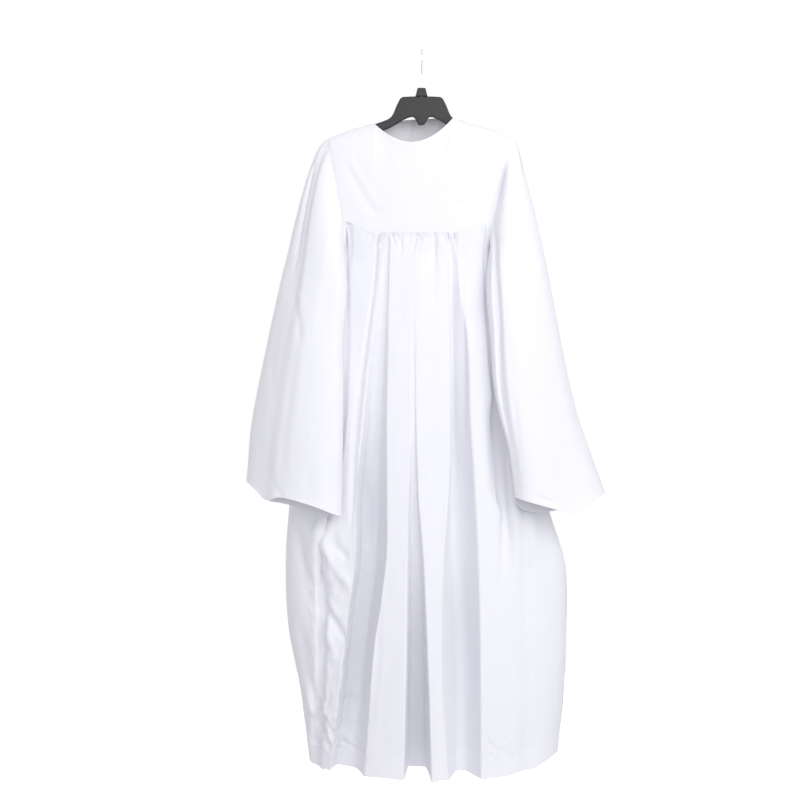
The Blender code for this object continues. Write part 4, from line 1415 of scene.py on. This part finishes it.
class GOWN_OT_sleeves(bpy.types.Operator):
    """Make the two wide sleeves, with their hems turned in and sewn"""

    bl_idname = "gown.sleeves"
    bl_label = "Sleeves"

    def execute(self, context):
        finish = cotton("sleeve", sizes().sleeve_hem, 0.00025)
        runs = []
        for side in SIDES:
            obj, run = make_sleeve(side)
            fit(obj, finish, "sleeve_cloth", f"sleeve_{side}")
            runs.append(run)
        stitches("sleeve", runs)
        return {"FINISHED"}


class GOWN_OT_buttons(bpy.types.Operator):
    """Make the three buttons down the back, with their threads"""

    bl_idname = "gown.buttons"
    bl_label = "Buttons"

    def execute(self, context):
        finish = plastic("button_shell", colours().button, 0.28, 0.00001)
        runs = []
        for number in (1, 2, 3):
            node = f"back_button_{number}"
            middle, axis = disc_axis(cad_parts[node])
            fit(round_button(f"button_{number}", middle, axis), finish, "button_plastic", node)
            runs += button_threads(middle, axis)
        mesh = from_curves(
            "button_threads", runs, dimensions="3D", bevel_depth=BUTTON_THREAD / 2 * MM,
            bevel_resolution=2, use_fill_caps=True,
        )
        fit(add("button_threads", mesh), thread("button_thread"), "button_plastic")
        return {"FINISHED"}


class GOWN_OT_hanger(bpy.types.Operator):
    """Give the hanger, its clip and its hook their finishes"""

    bl_idname = "gown.hanger"
    bl_label = "Hanger finish"

    def execute(self, context):
        finishes = {
            "hanger_body": plastic("hanger_satin", colours().hanger, 0.40, 0.00003),
            "size_clip": plastic("clip_satin", colours().clip, 0.34, 0.00001),
            "hanger_hook": plated_wire("hook_plating", colours().wire),
        }
        for node, finish in finishes.items():
            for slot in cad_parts[node].material_slots:
                slot.material = finish
        return {"FINISHED"}


def aimed(obj, at, target):
    """Puts a light or a camera in its place, turned to the target."""
    obj.location = at
    obj.rotation_euler = (target - obj.location).to_track_quat("-Z", "Y").to_euler()


class GOWN_OT_stage(bpy.types.Operator):
    """Set up the floor, the light and the camera"""

    bl_idname = "gown.stage"
    bl_label = "Stage"

    def execute(self, context):
        studio = context.scene.gown_studio
        bm = bmesh.new()
        bmesh.ops.create_grid(bm, x_segments=8, y_segments=8, size=2.6)
        bmesh.ops.translate(bm, verts=bm.verts, vec=(0, 0, HEM_Z * MM - studio.floor_drop))
        mesh = bpy.data.meshes.new("floor")
        bm.to_mesh(mesh)
        bm.free()
        floor = add("floor", mesh)
        painted = Finish("floor_paint")
        cloudy = painted.noise(painted.solid, 3.0)
        seen = painted.node("ShaderNodeLightPath", output="Is Camera Ray")
        painted.set(
            base_color=painted.colour(cloudy, dimmed(studio.floor, 0.98), studio.floor),
            roughness=painted.between(cloudy, 0.75, 0.9),
            emission_color=(1.0, 1.0, 1.0, 1.0),
            emission_strength=painted.times(seen, studio.floor_glow),
        )
        mesh.materials.append(painted.material)

        world = bpy.data.worlds.new("studio")
        world.use_nodes = True
        tree = world.node_tree
        sky = tree.nodes["Background"]
        feed(sky.inputs["Color"], (*studio.sky, 1.0))
        feed(sky.inputs["Strength"], studio.sky_strength)
        white = new_node(tree, "ShaderNodeBackground", {"Color": (1.0, 1.0, 1.0, 1.0)})
        seen = new_node(tree, "ShaderNodeLightPath", output="Is Camera Ray")
        shown = new_node(tree, "ShaderNodeMixShader", {0: seen, 1: sky.outputs[0], 2: white})
        feed(tree.nodes["World Output"].inputs["Surface"], shown)
        context.scene.world = world
        context.scene.view_settings.view_transform = "Standard"

        middle = Vector((0.0, 0.0, -0.5))
        for name, at, size, power in (
            ("main_light", (1.6, -2.6, 0.9), 3.0, studio.key),
            ("front_light", (-0.3, -3.0, 0.7), 3.0, studio.front),
            ("back_light", (-1.6, 2.6, 0.5), 2.0, studio.back),
        ):
            lamp = bpy.data.lights.new(name, "AREA")
            lamp.size = size
            lamp.energy = power
            aimed(add(name, lamp), at, middle)

        lens = bpy.data.cameras.new("camera")
        lens.lens = studio.lens
        lens.sensor_width = 36.0
        camera = add("camera", lens)
        middle_x = -0.04745
        aimed(camera, (middle_x, -3.3, -0.5035), Vector((middle_x, 0.0, -0.7735)))
        context.scene.camera = camera
        return {"FINISHED"}


TOOLS = (
    GOWN_OT_yoke, GOWN_OT_skirt, GOWN_OT_sleeves, GOWN_OT_buttons, GOWN_OT_hanger, GOWN_OT_stage
)


class GOWN_PT_panel(bpy.types.Panel):
    """Lists the gown's tools and its sizes and colours"""

    bl_idname = "GOWN_PT_panel"
    bl_label = "Christening gown"
    bl_space_type = "VIEW_3D"
    bl_region_type = "UI"
    bl_category = "Gown"

    def draw(self, context):
        for tool in TOOLS:
            self.layout.operator(tool.bl_idname)
        for attribute in GROUPS:
            group = getattr(context.scene, attribute)
            box = self.layout.box()
            for name in group.__annotations__:
                box.prop(group, name)


GROUPS = {"gown_sizes": GownSizes, "gown_colours": GownColours, "gown_studio": GownStudio}


def register():
    for name, group in GROUPS.items():
        bpy.utils.register_class(group)
        setattr(bpy.types.Scene, name, bpy.props.PointerProperty(type=group))
    for tool in (*TOOLS, GOWN_PT_panel):
        bpy.utils.register_class(tool)


def unregister():
    for tool in (GOWN_PT_panel, *reversed(TOOLS)):
        bpy.utils.unregister_class(tool)
    for name, group in GROUPS.items():
        delattr(bpy.types.Scene, name)
        bpy.utils.unregister_class(group)


def main():
    register()
    for tool in TOOLS:
        group, name = tool.bl_idname.split(".")
        getattr(getattr(bpy.ops, group), name)()


if __name__ == "__main__":
    main()
